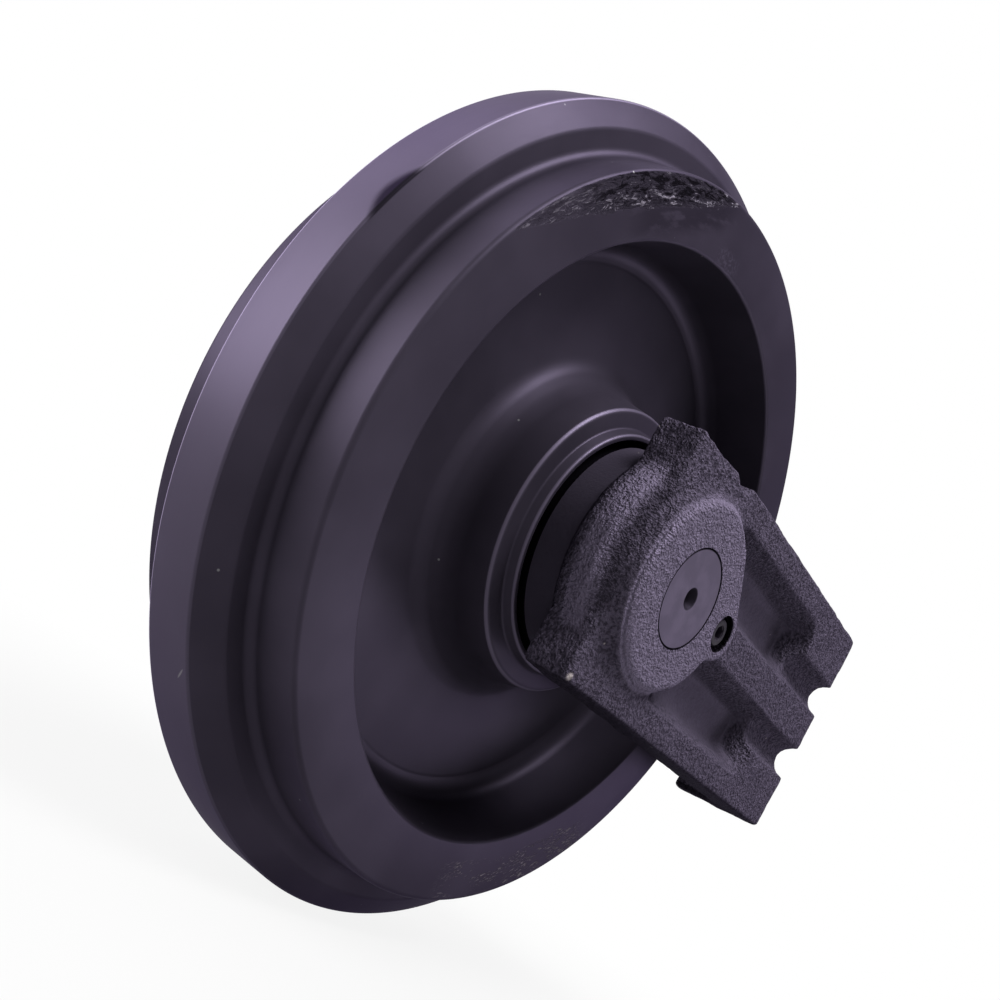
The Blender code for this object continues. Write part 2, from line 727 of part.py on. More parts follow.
def make_screw(name, side, group, cutters):
    head_base = PAD_LEVEL - COUNTERBORE_DEPTH + SEAT_GAP
    head_top = head_base + SCREW_HEAD_HEIGHT
    profile = [
        (0.0, head_top),
        (SCREW_HEAD_RADIUS - SCREW_HEAD_EDGE, head_top),
        (SCREW_HEAD_RADIUS, head_top - SCREW_HEAD_EDGE),
        (SCREW_HEAD_RADIUS, head_base),
        (SCREW_RADIUS, head_base),
        (SCREW_RADIUS, head_base - SCREW_LENGTH + SCREW_END_EDGE),
        (SCREW_RADIUS - SCREW_END_EDGE, head_base - SCREW_LENGTH),
        (0.0, head_base - SCREW_LENGTH),
    ]
    screw = turned(name, profile, SMALL_STEPS, group)
    stand_out(screw, side)
    screw.location = (SCREW_PLACE, 0.0, 0.0)
    key = hexagon(
        name + "_key_cut",
        SCREW_KEY,
        (SCREW_PLACE, side * (head_top - SCREW_KEY_DEPTH), 0),
        (SCREW_PLACE, side * (head_top + OVERRUN), 0),
        cutters,
    )
    combine(screw, key, "DIFFERENCE")
    return screw


def make_pin(name, side, group):
    top = BLOCK_HALF_HEIGHT - PIN_TOP_INSET
    bottom = -SHAFT_RADIUS - PIN_BLIND_DEPTH
    place = side * PIN_PLACE
    return bar(name, PIN_RADIUS, (0, place, bottom), (0, place, top), HOLE_STEPS, group)


def build():
    clear_scene()
    pieces = new_collection("front_idler")
    cutters = new_collection("front_idler_cutters", hidden=True)

    black_paint = paint("black_paint", (0.016, 0.014, 0.018), 0.32, 0.0)
    cast_black = paint("black_on_casting", (0.020, 0.018, 0.022), 0.55, 0.0)
    steel = paint("bare_steel", (0.36, 0.35, 0.36), 0.35, 1.0)
    dark_steel = paint("dark_screw", (0.04, 0.04, 0.045), 0.4, 0.8)
    bronze = paint("bronze", (0.45, 0.28, 0.12), 0.35, 1.0)
    rubber = paint("black_rubber", (0.012, 0.012, 0.012), 0.7, 0.0)

    looks = []
    looks.append((make_wheel(pieces), black_paint))
    looks.append((make_shaft(pieces, cutters), steel))
    looks.append((make_oil_plug(pieces, cutters), dark_steel))

    form = make_bracket(cutters)
    for side, word in ((-1, "near"), (1, "far")):
        bracket = baked(form, "bracket_" + word, pieces, flip=side > 0)
        looks.append((bracket, cast_black))
        looks.append((make_bush("bushing_" + word, side, pieces), bronze))
        for index, ring in enumerate(make_seal(side, word, pieces)):
            looks.append((ring, steel if index % 2 == 0 else rubber))
        o_ring_centre = SHAFT_RADIUS - O_RING_THICK
        o_ring = make_ring("o_ring_" + word, side, o_ring_centre, O_RING_THICK, o_ring_place(), pieces)
        looks.append((o_ring, rubber))
        looks.append((make_screw("socket_screw_" + word, side, pieces, cutters), dark_steel))
        looks.append((make_pin("lock_pin_" + word, side, pieces), steel))

    for thing, material in looks:
        thing.data.materials.clear()
        thing.data.materials.append(material)
        smooth(thing)
    for helper in cutters.objects:
        helper.hide_render = True
        helper.display_type = "WIRE"


build()
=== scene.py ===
import json
import math

import bmesh
import bpy
from mathutils import Matrix, Vector, noise


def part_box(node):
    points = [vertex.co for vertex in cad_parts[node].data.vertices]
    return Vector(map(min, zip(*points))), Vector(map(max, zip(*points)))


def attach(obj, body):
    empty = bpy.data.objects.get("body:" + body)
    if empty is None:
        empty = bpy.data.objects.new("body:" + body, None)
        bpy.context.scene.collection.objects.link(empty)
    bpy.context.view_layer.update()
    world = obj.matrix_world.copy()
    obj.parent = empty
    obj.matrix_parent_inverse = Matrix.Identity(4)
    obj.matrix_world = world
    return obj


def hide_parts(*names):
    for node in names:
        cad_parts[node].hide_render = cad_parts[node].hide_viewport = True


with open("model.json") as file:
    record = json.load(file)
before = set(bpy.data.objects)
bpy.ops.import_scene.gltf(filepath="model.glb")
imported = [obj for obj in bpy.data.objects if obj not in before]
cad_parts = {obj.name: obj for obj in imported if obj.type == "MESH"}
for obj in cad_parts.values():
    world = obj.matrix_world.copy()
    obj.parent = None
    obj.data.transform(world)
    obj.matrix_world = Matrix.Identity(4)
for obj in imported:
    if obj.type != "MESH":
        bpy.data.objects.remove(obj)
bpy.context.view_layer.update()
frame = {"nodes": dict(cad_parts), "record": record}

scene = bpy.context.scene
print("frame loaded with", len(frame["nodes"]), "nodes")


class Wire:  # an output socket that takes part in plain arithmetic
    def __init__(self, paint, socket):
        self.paint = paint
        self.socket = socket

    def maths(self, operation, *others, swapped=False):
        ends = [self, *others]
        if swapped:
            ends.reverse()
        values = {place: value for place, value in enumerate(ends)}
        return self.paint.add("Math", {"operation": operation}, values)

    def __add__(self, other):
        return self.maths("ADD", other)

    def __radd__(self, other):
        return self.maths("ADD", other)

    def __sub__(self, other):
        return self.maths("SUBTRACT", other)

    def __rsub__(self, other):
        return self.maths("SUBTRACT", other, swapped=True)

    def __mul__(self, other):
        return self.maths("MULTIPLY", other)

    def __rmul__(self, other):
        return self.maths("MULTIPLY", other)

    def __truediv__(self, other):
        return self.maths("DIVIDE", other)

    def larger(self, other):
        return self.maths("MAXIMUM", other)

    def output(self, name):  # another output of the same node
        return Wire(self.paint, self.socket.node.outputs[name])

    def above(self, low, high):  # 0 below low, 1 above high, smooth between
        return self.paint.add(
            "MapRange",
            {"interpolation_type": "SMOOTHSTEP"},
            {"Value": self, "From Min": low, "From Max": high},
        )

    def below(self, low, high):
        return 1 - self.above(low, high)

    def within(self, start, end, soft):
        return self.above(start - soft, start + soft) * self.below(end - soft, end + soft)


class Nodes:  # a node tree and the one way to add to it
    def __init__(self, tree):
        self.tree = tree

    def put(self, socket, value):
        if isinstance(value, Wire):
            self.tree.links.new(value.socket, socket)
        else:
            socket.default_value = value

    def add(self, kind, settings=None, values=None, out=0):
        node = self.tree.nodes.new("ShaderNode" + kind)
        for name, value in (settings or {}).items():
            setattr(node, name, value)
        for name, value in (values or {}).items():
            self.put(node.inputs[name], value)
        return Wire(self, node.outputs[out])

    def seenOrMirrored(self):  # 1 for what the camera, a reflection or clear material sees
        path = self.add("LightPath")
        seen = path.output("Is Camera Ray").larger(path.output("Is Glossy Ray"))
        return seen.larger(path.output("Is Transmission Ray"))


paintTint = (0.985, 0.83, 1.23)  # the slight violet of the black paint


def tinted(level, tint=paintTint):
    return (level * tint[0], level * tint[1], level * tint[2], 1.0)


class Paint(Nodes):  # one material: its coordinates, its patterns and its shader
    def __init__(self, name, colour, roughness, metallic=0.0, specular=0.5, edgeTint=(1.0, 1.0, 1.0)):
        self.material = bpy.data.materials.new(name)
        self.material.use_nodes = True
        super().__init__(self.material.node_tree)
        self.shader = self.tree.nodes["Principled BSDF"]
        self.set("Base Color", (*colour, 1.0))
        self.set("Roughness", roughness)
        self.set("Metallic", metallic)
        self.set("Specular IOR Level", specular)
        self.set("Specular Tint", (*edgeTint, 1.0))
        self.material.diffuse_color = (*colour, 1.0)

    def set(self, name, value):
        self.put(self.shader.inputs[name], value)

    def place(self, centre=(0.0, 0.0, 0.0), turn=(0.0, 0.0, 0.0), scale=(1.0, 1.0, 1.0)):
        where = self.add("TexCoord", out="Object")
        return self.add("Mapping", {"vector_type": "TEXTURE"}, {
            "Vector": where, "Location": centre, "Rotation": turn, "Scale": scale})

    def noise(self, where, size, detail=2.0, rough=0.5, warp=0.0):
        return self.add("TexNoise", {}, {
            "Vector": where, "Scale": 1.0 / size, "Detail": detail, "Roughness": rough, "Distortion": warp})

    def cells(self, where, size):
        return self.add("TexVoronoi", {}, {"Vector": where, "Scale": 1.0 / size})

    def mix(self, share, first, second):
        return self.add("Mix", {"data_type": "RGBA"}, {0: share, 6: first, 7: second}, out=2)

    def join(self, x, y, z):
        return self.add("CombineXYZ", {}, {0: x, 1: y, 2: z})

    def axes(self):  # x, y, z, distance from the shaft's axis, and turn about it in degrees
        split = self.add("SeparateXYZ", {}, {0: self.add("TexCoord", out="Object")})
        x, y, z = split, split.output("Y"), split.output("Z")
        radius = (x * x + z * z).maths("SQRT")
        turn = z.maths("ARCTAN2", x) * math.degrees(1.0)
        return x, y, z, radius, turn

    def spot(self, centre, radius, soft):  # a round mark on the surface
        away = self.add("VectorMath", {"operation": "DISTANCE"}, {
            0: self.add("TexCoord", out="Object"), 1: centre}, out="Value")
        return away.below(radius - soft, radius + soft)

    def stroke(self, start, end, width, soft=0.6):  # a straight scratch between two points
        start, end = Vector(start), Vector(end)
        turn = (end - start).to_track_quat("X", "Z").to_euler()
        length = (end - start).length
        local = self.place(tuple((start + end) / 2), tuple(turn), (length / 2, width, width))
        away = self.add("VectorMath", {"operation": "LENGTH"}, {0: local}, out="Value")
        return away.below(soft, 1.0)

    def bump(self, height, distance, after=None):
        values = {"Height": height, "Distance": distance, "Strength": 1.0}
        if after is not None:
            values["Normal"] = after
        return self.add("Bump", {}, values)

    def marked(self, colour, masks, marks):  # lays named marks, in order, over a colour
        for name, (share, level, tint) in marks.items():
            colour = self.mix(masks[name] * share, colour, tinted(level, tint))
        return colour


def roundedChain(shape, corners, segments):  # rounds the corners of a wire outline
    for point, (radius, out, rounding) in corners:
        if rounding > 0.0:
            bmesh.ops.bevel(
                shape, geom=[point], offset=rounding, offset_type="OFFSET", segments=segments,
                profile=0.5, affect="VERTICES", material=-1, clamp_overlap=False)


# an outline of (radius, place along y, rounding) turned full circle about y
def spunShape(corners, steps, closed=True, segments=6):
    shape = bmesh.new()
    points = [shape.verts.new((radius, out, 0.0)) for radius, out, rounding in corners]
    for first, second in zip(points, points[1:]):
        shape.edges.new((first, second))
    if closed:
        shape.edges.new((points[-1], points[0]))
    roundedChain(shape, list(zip(points, corners)), segments)
    bmesh.ops.spin(
        shape, geom=shape.verts[:] + shape.edges[:], cent=(0, 0, 0), axis=(0, 1, 0),
        dvec=(0, 0, 0), angle=math.tau, steps=steps, use_merge=True, use_duplicate=False)
    bmesh.ops.remove_doubles(shape, verts=shape.verts, dist=1e-7)
    bmesh.ops.recalc_face_normals(shape, faces=shape.faces)
    return shape


def partSpin(corners, start, sweep, steps):  # a closed outline turned part of the way, with end faces
    shape = bmesh.new()
    points = [shape.verts.new((radius, out, 0.0)) for radius, out in corners]
    face = shape.faces.new(points)
    bmesh.ops.rotate(
        shape, verts=shape.verts, cent=(0, 0, 0), matrix=Matrix.Rotation(-math.radians(start), 3, "Y"))
    bmesh.ops.spin(
        shape, geom=[face], cent=(0, 0, 0), axis=(0, 1, 0), dvec=(0, 0, 0),
        angle=-math.radians(sweep), steps=steps, use_merge=False, use_duplicate=False)
    bmesh.ops.recalc_face_normals(shape, faces=shape.faces)
    return shape


def barShape(radius, start, end, steps, endRadius=None):  # a bar, or a cone where endRadius is given
    start, end = Vector(start), Vector(end)
    turn = (end - start).to_track_quat("Z", "Y").to_matrix().to_4x4()
    shape = bmesh.new()
    bmesh.ops.create_cone(
        shape, cap_ends=True, segments=steps, radius1=radius,
        radius2=radius if endRadius is None else endRadius,
        depth=(end - start).length, matrix=Matrix.Translation((start + end) / 2) @ turn)
    return shape


def newObject(name, shape, hidden=False):
    mesh = bpy.data.meshes.new(name)
    shape.to_mesh(mesh)
    shape.free()
    made = bpy.data.objects.new(name, mesh)
    scene.collection.objects.link(made)
    made.hide_render = hidden
    return made


def joined(shapes):  # several bmesh solids in one
    whole = bmesh.new()
    for shape in shapes:
        mesh = bpy.data.meshes.new("part")
        shape.to_mesh(mesh)
        shape.free()
        whole.from_mesh(mesh)
        bpy.data.meshes.remove(mesh)
    return whole


def mirrored(mesh):  # a mesh's other hand across y, as a new bmesh
    shape = bmesh.new()
    shape.from_mesh(mesh)
    bmesh.ops.scale(shape, vec=(1.0, -1.0, 1.0), verts=shape.verts)
    bmesh.ops.reverse_faces(shape, faces=shape.faces)
    return shape


def smoothed(piece, angle):
    for face in piece.data.polygons:
        face.use_smooth = True
    piece.data.set_sharp_from_angle(angle=math.radians(angle))
    return piece


def bakeModifiers(piece):  # keeps the result of the modifiers as the piece's own mesh
    bpy.context.view_layer.update()
    graph = bpy.context.evaluated_depsgraph_get()
    mesh = bpy.data.meshes.new_from_object(piece.evaluated_get(graph))
    piece.modifiers.clear()
    piece.data = mesh
    return piece


def cutBy(piece, shape):
    cutter = newObject("cutter", shape, hidden=True)
    change = piece.modifiers.new("cut", "BOOLEAN")
    change.operation = "DIFFERENCE"
    change.solver = "EXACT"
    change.object = cutter
    bakeModifiers(piece)
    bpy.data.objects.remove(cutter, do_unlink=True)


def dress(piece, paint, body, slot, *nodes):
    piece.data.materials.clear()
    piece.data.materials.append(paint.material)
    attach(piece, body)
    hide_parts(*nodes)


wheelForm = {
    "steps": 320, "sharpAngle": 50.0,
    "nearRim": 0.0420, "nearTreadEdge": 0.1687, "farRim": 0.0470, "farTreadEdge": 0.1706,
    "rimInner": 0.1398, "rimDraft": 0.0001, "rimInnerRound": 0.0014, "treadEdgeRound": 0.0022,
    "inside": {  # radius, distance out and rounding of each corner from the bore to the rim
        "boreStart": (0.0260, 0.0090, 0.0),
        "boreEnd": (0.0260, 0.0245, 0.0),
        "bushSeat": (0.0313, 0.0245, 0.0),
        "bushSeatEdge": (0.0313, 0.0274, 0.0003),
        "sealSeat": (0.0375, 0.0274, 0.0003),
        "sealSeatEdge": (0.0375, 0.0369, 0.0004),
        "mouthFloor": (0.0545, 0.0369, 0.0004),
        "mouthEdge": (0.0545, 0.0449, 0.0007),
        "ringTop": (0.0570, 0.0449, 0.0008),
        "ringFoot": (0.0586, 0.0398, 0.0008),
        "hubFaceEdge": (0.0670, 0.0392, 0.0019),
        "hubFillet": (0.0710, 0.0205, 0.0050),
        "hubFoot": (0.0785, 0.0096, 0.0050),
        "webStart": (0.0925, 0.0080, 0.0060),
        "webEnd": (0.1245, 0.0080, 0.0003),
        "rimFoot": (0.1325, 0.0079, 0.0080),
    },
    "outside": {  # the same from the tread to the flange's edge
        "treadFoot": (0.1700, 0.0191, 0.0038),
        "taperStart": (0.1810, 0.0190, 0.0011),
        "flangeEdge": (0.1920, 0.0118, 0.0007),
    },
}


def halfWheel(form, side):
    rim = form[side + "Rim"]
    return [
        *form["inside"].values(),
        (form["rimInner"], rim - form["rimDraft"], form["rimInnerRound"]),
        (form[side + "TreadEdge"], rim, form["treadEdgeRound"]),
        *form["outside"].values(),
    ]


def wheelOutline(form):
    near = [(radius, -out, rounding) for radius, out, rounding in halfWheel(form, "near")]
    return near + halfWheel(form, "far")[::-1]


wheel = newObject("wheel_casting", spunShape(wheelOutline(wheelForm), wheelForm["steps"]))
smoothed(wheel, wheelForm["sharpAngle"])
print("wheel turned,", len(wheel.data.polygons), "faces")


bracketForm = {
    # the cast skin
    "voxel": 0.00115, "crispRounds": 3, "softRounds": 16, "earRounds": 8, "share": 0.5, "filled": 0.85,
    "sharpAngle": 60.0,
    # holes: they are filled before the skin is made, and cut again after it
    "padLevel": 0.0940, "bore": 0.0228, "boreStart": 0.0200, "boreEdge": 0.0004, "edgeIn": 0.0006,
    "edgeOut": 0.0010, "counterbore": 0.0090, "counterboreFloor": 0.0840, "screwPlace": 0.0427,
    "screwHole": 0.0043, "screwHoleStart": 0.0622, "screwHoleEnd": 0.0900, "cutEnd": 0.0990,
    "pinHole": 0.0043, "pinPlace": 0.0740, "pinHoleSpan": (-0.0331, 0.0660),
    "plugStart": 0.0585, "pinPlugSpan": (-0.0360, 0.0591), "boreMargin": 0.0015, "plugMargin": 0.0012,
    "boreSteps": 128, "counterboreSteps": 72, "screwHoleSteps": 40, "pinHoleSteps": 48,
    "borePlugSteps": 64, "counterborePlugSteps": 48, "pinPlugSteps": 32,
    # the turned collar and the step beside the wheel's mouth
    "collar": 0.0518, "collarEnd": 0.0379, "shoulderStart": 0.0615, "turnedMargin": 0.0015,
    "collarReach": 0.0012, "collarMargin": 0.0010,
    "recess": 0.0496, "recessOuter": 0.0560, "recessStart": 0.0300, "recessEnd": 0.0464, "recessSteps": 160,
    # the neck from the pad to the shoulder's ridge: distance from the axis, distance out
    "neckStart": 82.0, "neckSweep": 196.0, "neckSteps": 72,
    "neck": [
        (0.0380, 0.0925), (0.0425, 0.0936), (0.0448, 0.0926), (0.0461, 0.0902), (0.0470, 0.0865),
        (0.0482, 0.0812), (0.0500, 0.0784), (0.0520, 0.0776), (0.0540, 0.0790), (0.0556, 0.0786),
        (0.0562, 0.0768), (0.0562, 0.0690), (0.0556, 0.0640), (0.0500, 0.0625), (0.0380, 0.0625),
    ],
    # the pad, calmer than the rest, and its rounded rim
    "padBlend": (0.0915, 0.0930), "padCalm": 0.75, "padRim": 0.0400, "padRimWidth": 0.0042,
    "padRimDrop": 0.0016, "padRimCurve": 1.5, "padRimAlong": 0.024,
    # the ears at the front corners, and the notch and the lower stretch in the top edge
    "earFrom": (0.034, 0.066, 0.020), "earAlong": (0.004, 0.024), "earUp": (0.030, 0.044),
    "earOut": (0.060, 0.070),
    "topUp": (0.047, 0.0585), "topOut": (0.058, 0.080),
    "notchPlace": 0.002, "notchHalf": 0.011, "notchDepth": 0.0042, "notchFade": (0.25, 1.0),
    "lowDepth": 0.0016, "lowStart": (-0.010, 0.008), "lowEnd": (0.030, 0.042),
    # waves of the skin: size and height of each, where they are read, and how far they lean inward
    "waves": ((0.013, 0.00050), (0.0050, 0.00022), (0.0026, 0.00011)),
    "waveShift": (0, 0, 0), "waveLean": 0.35,
    "earWaves": ((0.0100, 0.00055), (0.0040, 0.00045)), "earShift": (7, 3, 5), "earLean": 0.30,
    "farWaves": ((0.009, 0.00025),), "farShift": (2, 8, 1), "farLean": 0.5,
    "farWaveRadius": 0.060, "farWaveOut": 0.0900,
}


def ramp(value, low, high):  # 0 at low, 1 at high, smooth between
    part = min(max((value - low) / (high - low), 0.0), 1.0)
    return part * part * (3.0 - 2.0 * part)


def relax(shape, verts, rounds, share):
    for again in range(rounds):
        bmesh.ops.smooth_vert(
            shape, verts=verts, factor=share, use_axis_x=True, use_axis_y=True, use_axis_z=True)


def waved(place, waves, shift, lean):  # how far the waves of a cast skin stand out at a place
    return sum(height * (noise.noise(place / size + Vector(shift)) - lean) for size, height in waves)


def filledCasting(form):  # the CAD bracket with its holes filled and its neck added, in one skin
    source = bmesh.new()
    source.from_mesh(frame["nodes"]["bracket_near"].data)
    bmesh.ops.remove_doubles(source, verts=source.verts, dist=1e-6)
    neck = [(radius, -out) for radius, out in form["neck"]]
    screw, pin, start, level = form["screwPlace"], -form["pinPlace"], -form["plugStart"], -form["padLevel"]
    pinLow, pinHigh = form["pinPlugSpan"]
    plugs = [
        barShape(form["bore"] + form["boreMargin"], (0, start, 0), (0, level, 0), form["borePlugSteps"]),
        barShape(form["counterbore"] + form["plugMargin"], (screw, start, 0), (screw, level, 0),
                 form["counterborePlugSteps"]),
        barShape(form["pinHole"] + form["plugMargin"], (0, pin, pinLow), (0, pin, pinHigh),
                 form["pinPlugSteps"]),
    ]
    neckShape = partSpin(neck, form["neckStart"], form["neckSweep"], form["neckSteps"])
    piece = newObject("bracket_near_cast", joined([source, neckShape, *plugs]))
    remesh = piece.modifiers.new("Remesh", "REMESH")
    remesh.mode = "VOXEL"
    remesh.voxel_size = form["voxel"]
    return bakeModifiers(piece)


def softenCast(shape, form):  # fills the hollows of the cast skin, keeps its edges, and returns its points
    cast = []
    turnedOut = form["shoulderStart"] + form["turnedMargin"]
    for vert in shape.verts:
        radius = math.hypot(vert.co.x, vert.co.z)
        if radius > form["collar"] + form["turnedMargin"] or -vert.co.y > turnedOut:
            cast.append(vert)
    relax(shape, cast, form["crispRounds"], form["share"])
    shape.normal_update()
    crisp = [(vert.co.copy(), vert.normal.copy()) for vert in cast]
    relax(shape, cast, form["softRounds"], form["share"])
    for vert, (place, normal) in zip(cast, crisp):
        filled = max((vert.co - place).dot(normal), 0.0)
        vert.co = place + normal * filled * form["filled"]
    along, out, up = form["earFrom"]
    ears = [vert for vert in cast if -vert.co.x > along and -vert.co.y > out and abs(vert.co.z) > up]
    relax(shape, ears, form["earRounds"], form["share"])
    return cast


def keepCollar(shape, form):  # the turned collar keeps its size
    for vert in shape.verts:
        radius = math.hypot(vert.co.x, vert.co.z)
        onCollar = form["collarEnd"] + form["collarMargin"] < -vert.co.y < form["shoulderStart"]
        if onCollar and abs(radius - form["collar"]) < form["collarReach"]:
            vert.co.x *= form["collar"] / radius
            vert.co.z *= form["collar"] / radius


def castMove(place, normal, form):  # how far a point of the cast skin moves
    onPad = ramp(-place.y, *form["padBlend"])
    rise = waved(place, form["waves"], form["waveShift"], form["waveLean"])
    rise *= 1.0 - form["padCalm"] * onPad
    ear = ramp(-place.x, *form["earAlong"]) * ramp(abs(place.z), *form["earUp"])
    ear *= ramp(-place.y, *form["earOut"])
    rise += ear * waved(place, form["earWaves"], form["earShift"], form["earLean"])
    move = normal * rise
    pastRim = math.hypot(place.x, place.z) - form["padRim"]
    if pastRim > 0.0 and place.x < form["padRimAlong"]:
        move.y += form["padRimDrop"] * onPad * ramp(pastRim, 0.0, form["padRimWidth"]) ** form["padRimCurve"]
    top = ramp(place.z, *form["topUp"]) * ramp(-place.y, *form["topOut"])
    fromNotch = abs(place.x - form["notchPlace"]) / form["notchHalf"]
    dip = form["notchDepth"] * (1.0 - ramp(fromNotch, *form["notchFade"]))
    dip += form["lowDepth"] * ramp(-place.x, *form["lowStart"]) * (1.0 - ramp(-place.x, *form["lowEnd"]))
    move.z -= top * dip
    return move


def cutHoles(piece, form):
    screw, pin, level, end = form["screwPlace"], -form["pinPlace"], -form["padLevel"], -form["cutEnd"]
    pinLow, pinHigh = form["pinHoleSpan"]
    recess = [
        (form["recess"], -form["recessStart"], 0.0),
        (form["recessOuter"], -form["recessStart"], 0.0),
        (form["recessOuter"], -form["recessEnd"], 0.0),
        (form["recess"], -form["recessEnd"], 0.0),
    ]
    cuts = [
        barShape(form["bore"], (0, -form["boreStart"], 0), (0, end, 0), form["boreSteps"]),
        barShape(form["bore"] - form["edgeIn"], (0, level + form["edgeIn"] + form["boreEdge"], 0),
                 (0, level - form["edgeOut"], 0), form["boreSteps"],
                 form["bore"] + form["edgeOut"] + form["boreEdge"]),
        barShape(form["counterbore"], (screw, -form["counterboreFloor"], 0), (screw, end, 0),
                 form["counterboreSteps"]),
        barShape(form["screwHole"], (screw, -form["screwHoleStart"], 0),
                 (screw, -form["screwHoleEnd"], 0), form["screwHoleSteps"]),
        barShape(form["pinHole"], (0, pin, pinLow), (0, pin, pinHigh), form["pinHoleSteps"]),
        spunShape(recess, form["recessSteps"]),  # leaves a dark gap beside the wheel's mouth
    ]
    for cut in cuts:
        cutBy(piece, cut)


def castNear(form):
    piece = filledCasting(form)
    shape = bmesh.new()
    shape.from_mesh(piece.data)
    cast = softenCast(shape, form)
    keepCollar(shape, form)
    shape.normal_update()
    moves = [castMove(vert.co, vert.normal, form) for vert in cast]
    for vert, move in zip(cast, moves):
        vert.co += move
    shape.to_mesh(piece.data)
    shape.free()
    cutHoles(piece, form)
    return smoothed(piece, form["sharpAngle"])


def castFar(near, form):  # the other hand of the bracket, with waves of its own
    shape = mirrored(near.data)
    shape.normal_update()
    for vert in shape.verts:
        if math.hypot(vert.co.x, vert.co.z) > form["farWaveRadius"] and vert.co.y < form["farWaveOut"]:
            vert.co += vert.normal * waved(vert.co, form["farWaves"], form["farShift"], form["farLean"])
    return smoothed(newObject("bracket_far_cast", shape), form["sharpAngle"])


nearBracket = castNear(bracketForm)
farBracket = castFar(nearBracket, bracketForm)
print("brackets cast,", len(nearBracket.data.polygons), "faces each")


shaftForm = {
    "radius": 0.0225, "end": 0.0938, "edge": 0.0004, "centre": 0.0050, "centreDepth": 0.0065,
    "centreRound": 0.0005, "pilot": 0.0018, "pilotDepth": 0.0110, "pilotTip": 0.0010, "pilotRound": 0.0003,
    "plugHole": 0.0066, "plugHoleDepth": 0.0122, "steps": 144, "sharpAngle": 35.0,
}


def shaftOutline(form):
    near, far = -form["end"], form["end"]
    return [
        (0.0, near + form["pilotDepth"] + form["pilotTip"], 0.0),
        (form["pilot"], near + form["pilotDepth"], 0.0),
        (form["pilot"], near + form["centreDepth"], form["pilotRound"]),
        (form["centre"], near, form["centreRound"]),
        (form["radius"], near, form["edge"]),
        (form["radius"], far, form["edge"]),
        (form["plugHole"], far, form["edge"]),
        (form["plugHole"], far - form["plugHoleDepth"], 0.0),
        (0.0, far - form["plugHoleDepth"], 0.0),
    ]


shaftShape = spunShape(shaftOutline(shaftForm), shaftForm["steps"], closed=False, segments=5)
shaft = smoothed(newObject("shaft_bar", shaftShape), shaftForm["sharpAngle"])
print("shaft turned")


screwForm = {
    "place": 0.0427, "head": 0.0065, "headHeight": 0.0080, "shank": 0.0040, "length": 0.0190,
    "edge": 0.0009, "underHeadRound": 0.0003, "shankRound": 0.0002, "tipEdge": 0.0008,
    "key": 0.0060, "keyDepth": 0.0040, "keyOver": 0.0020,
    "keyEdge": 0.0004, "keyEdgeInner": 0.00005, "keyEdgeOuter": 0.0006, "keyEdgeSteps": 48,
    "steps": 64, "sharpAngle": 30.0,
}
hexSides = 6


def hexCorner(across):  # the radius of a hexagon's corners, from its width across the flats
    return across / 2 / math.cos(math.pi / hexSides)


def socketScrew(name, node, side, form):
    low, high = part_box(node)
    top, tip = (high.y, low.y) if side > 0 else (-low.y, -high.y)
    underHead = top - form["headHeight"]
    outline = [
        (0.0, top, 0.0),
        (form["head"], top, form["edge"]),
        (form["head"], underHead, form["underHeadRound"]),
        (form["shank"], underHead, form["shankRound"]),
        (form["shank"], underHead - form["length"] + form["tipEdge"], 0.0),
        (form["shank"] - form["tipEdge"], tip, 0.0),
        (0.0, tip, 0.0),
    ]
    shape = spunShape(outline, form["steps"], closed=False, segments=4)
    bmesh.ops.translate(shape, verts=shape.verts, vec=(form["place"], 0, 0))
    piece = newObject(name, shape)
    corner, place, edge = hexCorner(form["key"]), form["place"], form["keyEdge"]
    cutBy(piece, barShape(
        corner, (place, top - form["keyDepth"], 0), (place, top + form["keyOver"], 0), hexSides))
    cutBy(piece, barShape(
        corner + form["keyEdgeInner"], (place, top - edge, 0), (place, top + edge, 0), form["keyEdgeSteps"],
        corner + form["keyEdgeOuter"]))
    if side < 0:
        shape = mirrored(piece.data)
        shape.to_mesh(piece.data)
        shape.free()
    return smoothed(piece, form["sharpAngle"])


pinForm = {"lowRound": 0.0008, "topRound": 0.0010, "steps": 48, "sharpAngle": 35.0}


def lockPin(name, node, form):
    low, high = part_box(node)
    radius = (high.x - low.x) / 2
    middle = (high.y + low.y) / 2
    outline = [
        (0.0, low.z, 0.0), (radius, low.z, form["lowRound"]), (radius, high.z, form["topRound"]),
        (0.0, high.z, 0.0),
    ]
    shape = spunShape(outline, form["steps"], closed=False, segments=4)
    bmesh.ops.rotate(shape, verts=shape.verts, cent=(0, 0, 0), matrix=Matrix.Rotation(math.pi / 2, 3, "X"))
    bmesh.ops.translate(shape, verts=shape.verts, vec=(0, middle, 0))
    return smoothed(newObject(name, shape), form["sharpAngle"])


plugForm = {
    "inRound": 0.0006, "outRound": 0.0007, "key": 0.0060, "keyDepth": 0.0050, "keyOver": 0.0020,
    "steps": 56, "sharpAngle": 30.0,
}


def oilPlug(name, node, form):
    low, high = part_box(node)
    radius = (high.x - low.x) / 2
    outline = [
        (0.0, low.y, 0.0), (radius, low.y, form["inRound"]), (radius, high.y, form["outRound"]),
        (0.0, high.y, 0.0),
    ]
    piece = newObject(name, spunShape(outline, form["steps"], closed=False, segments=4))
    cutBy(piece, barShape(
        hexCorner(form["key"]), (0, high.y - form["keyDepth"], 0),
        (0, high.y + form["keyOver"], 0), hexSides))
    return smoothed(piece, form["sharpAngle"])


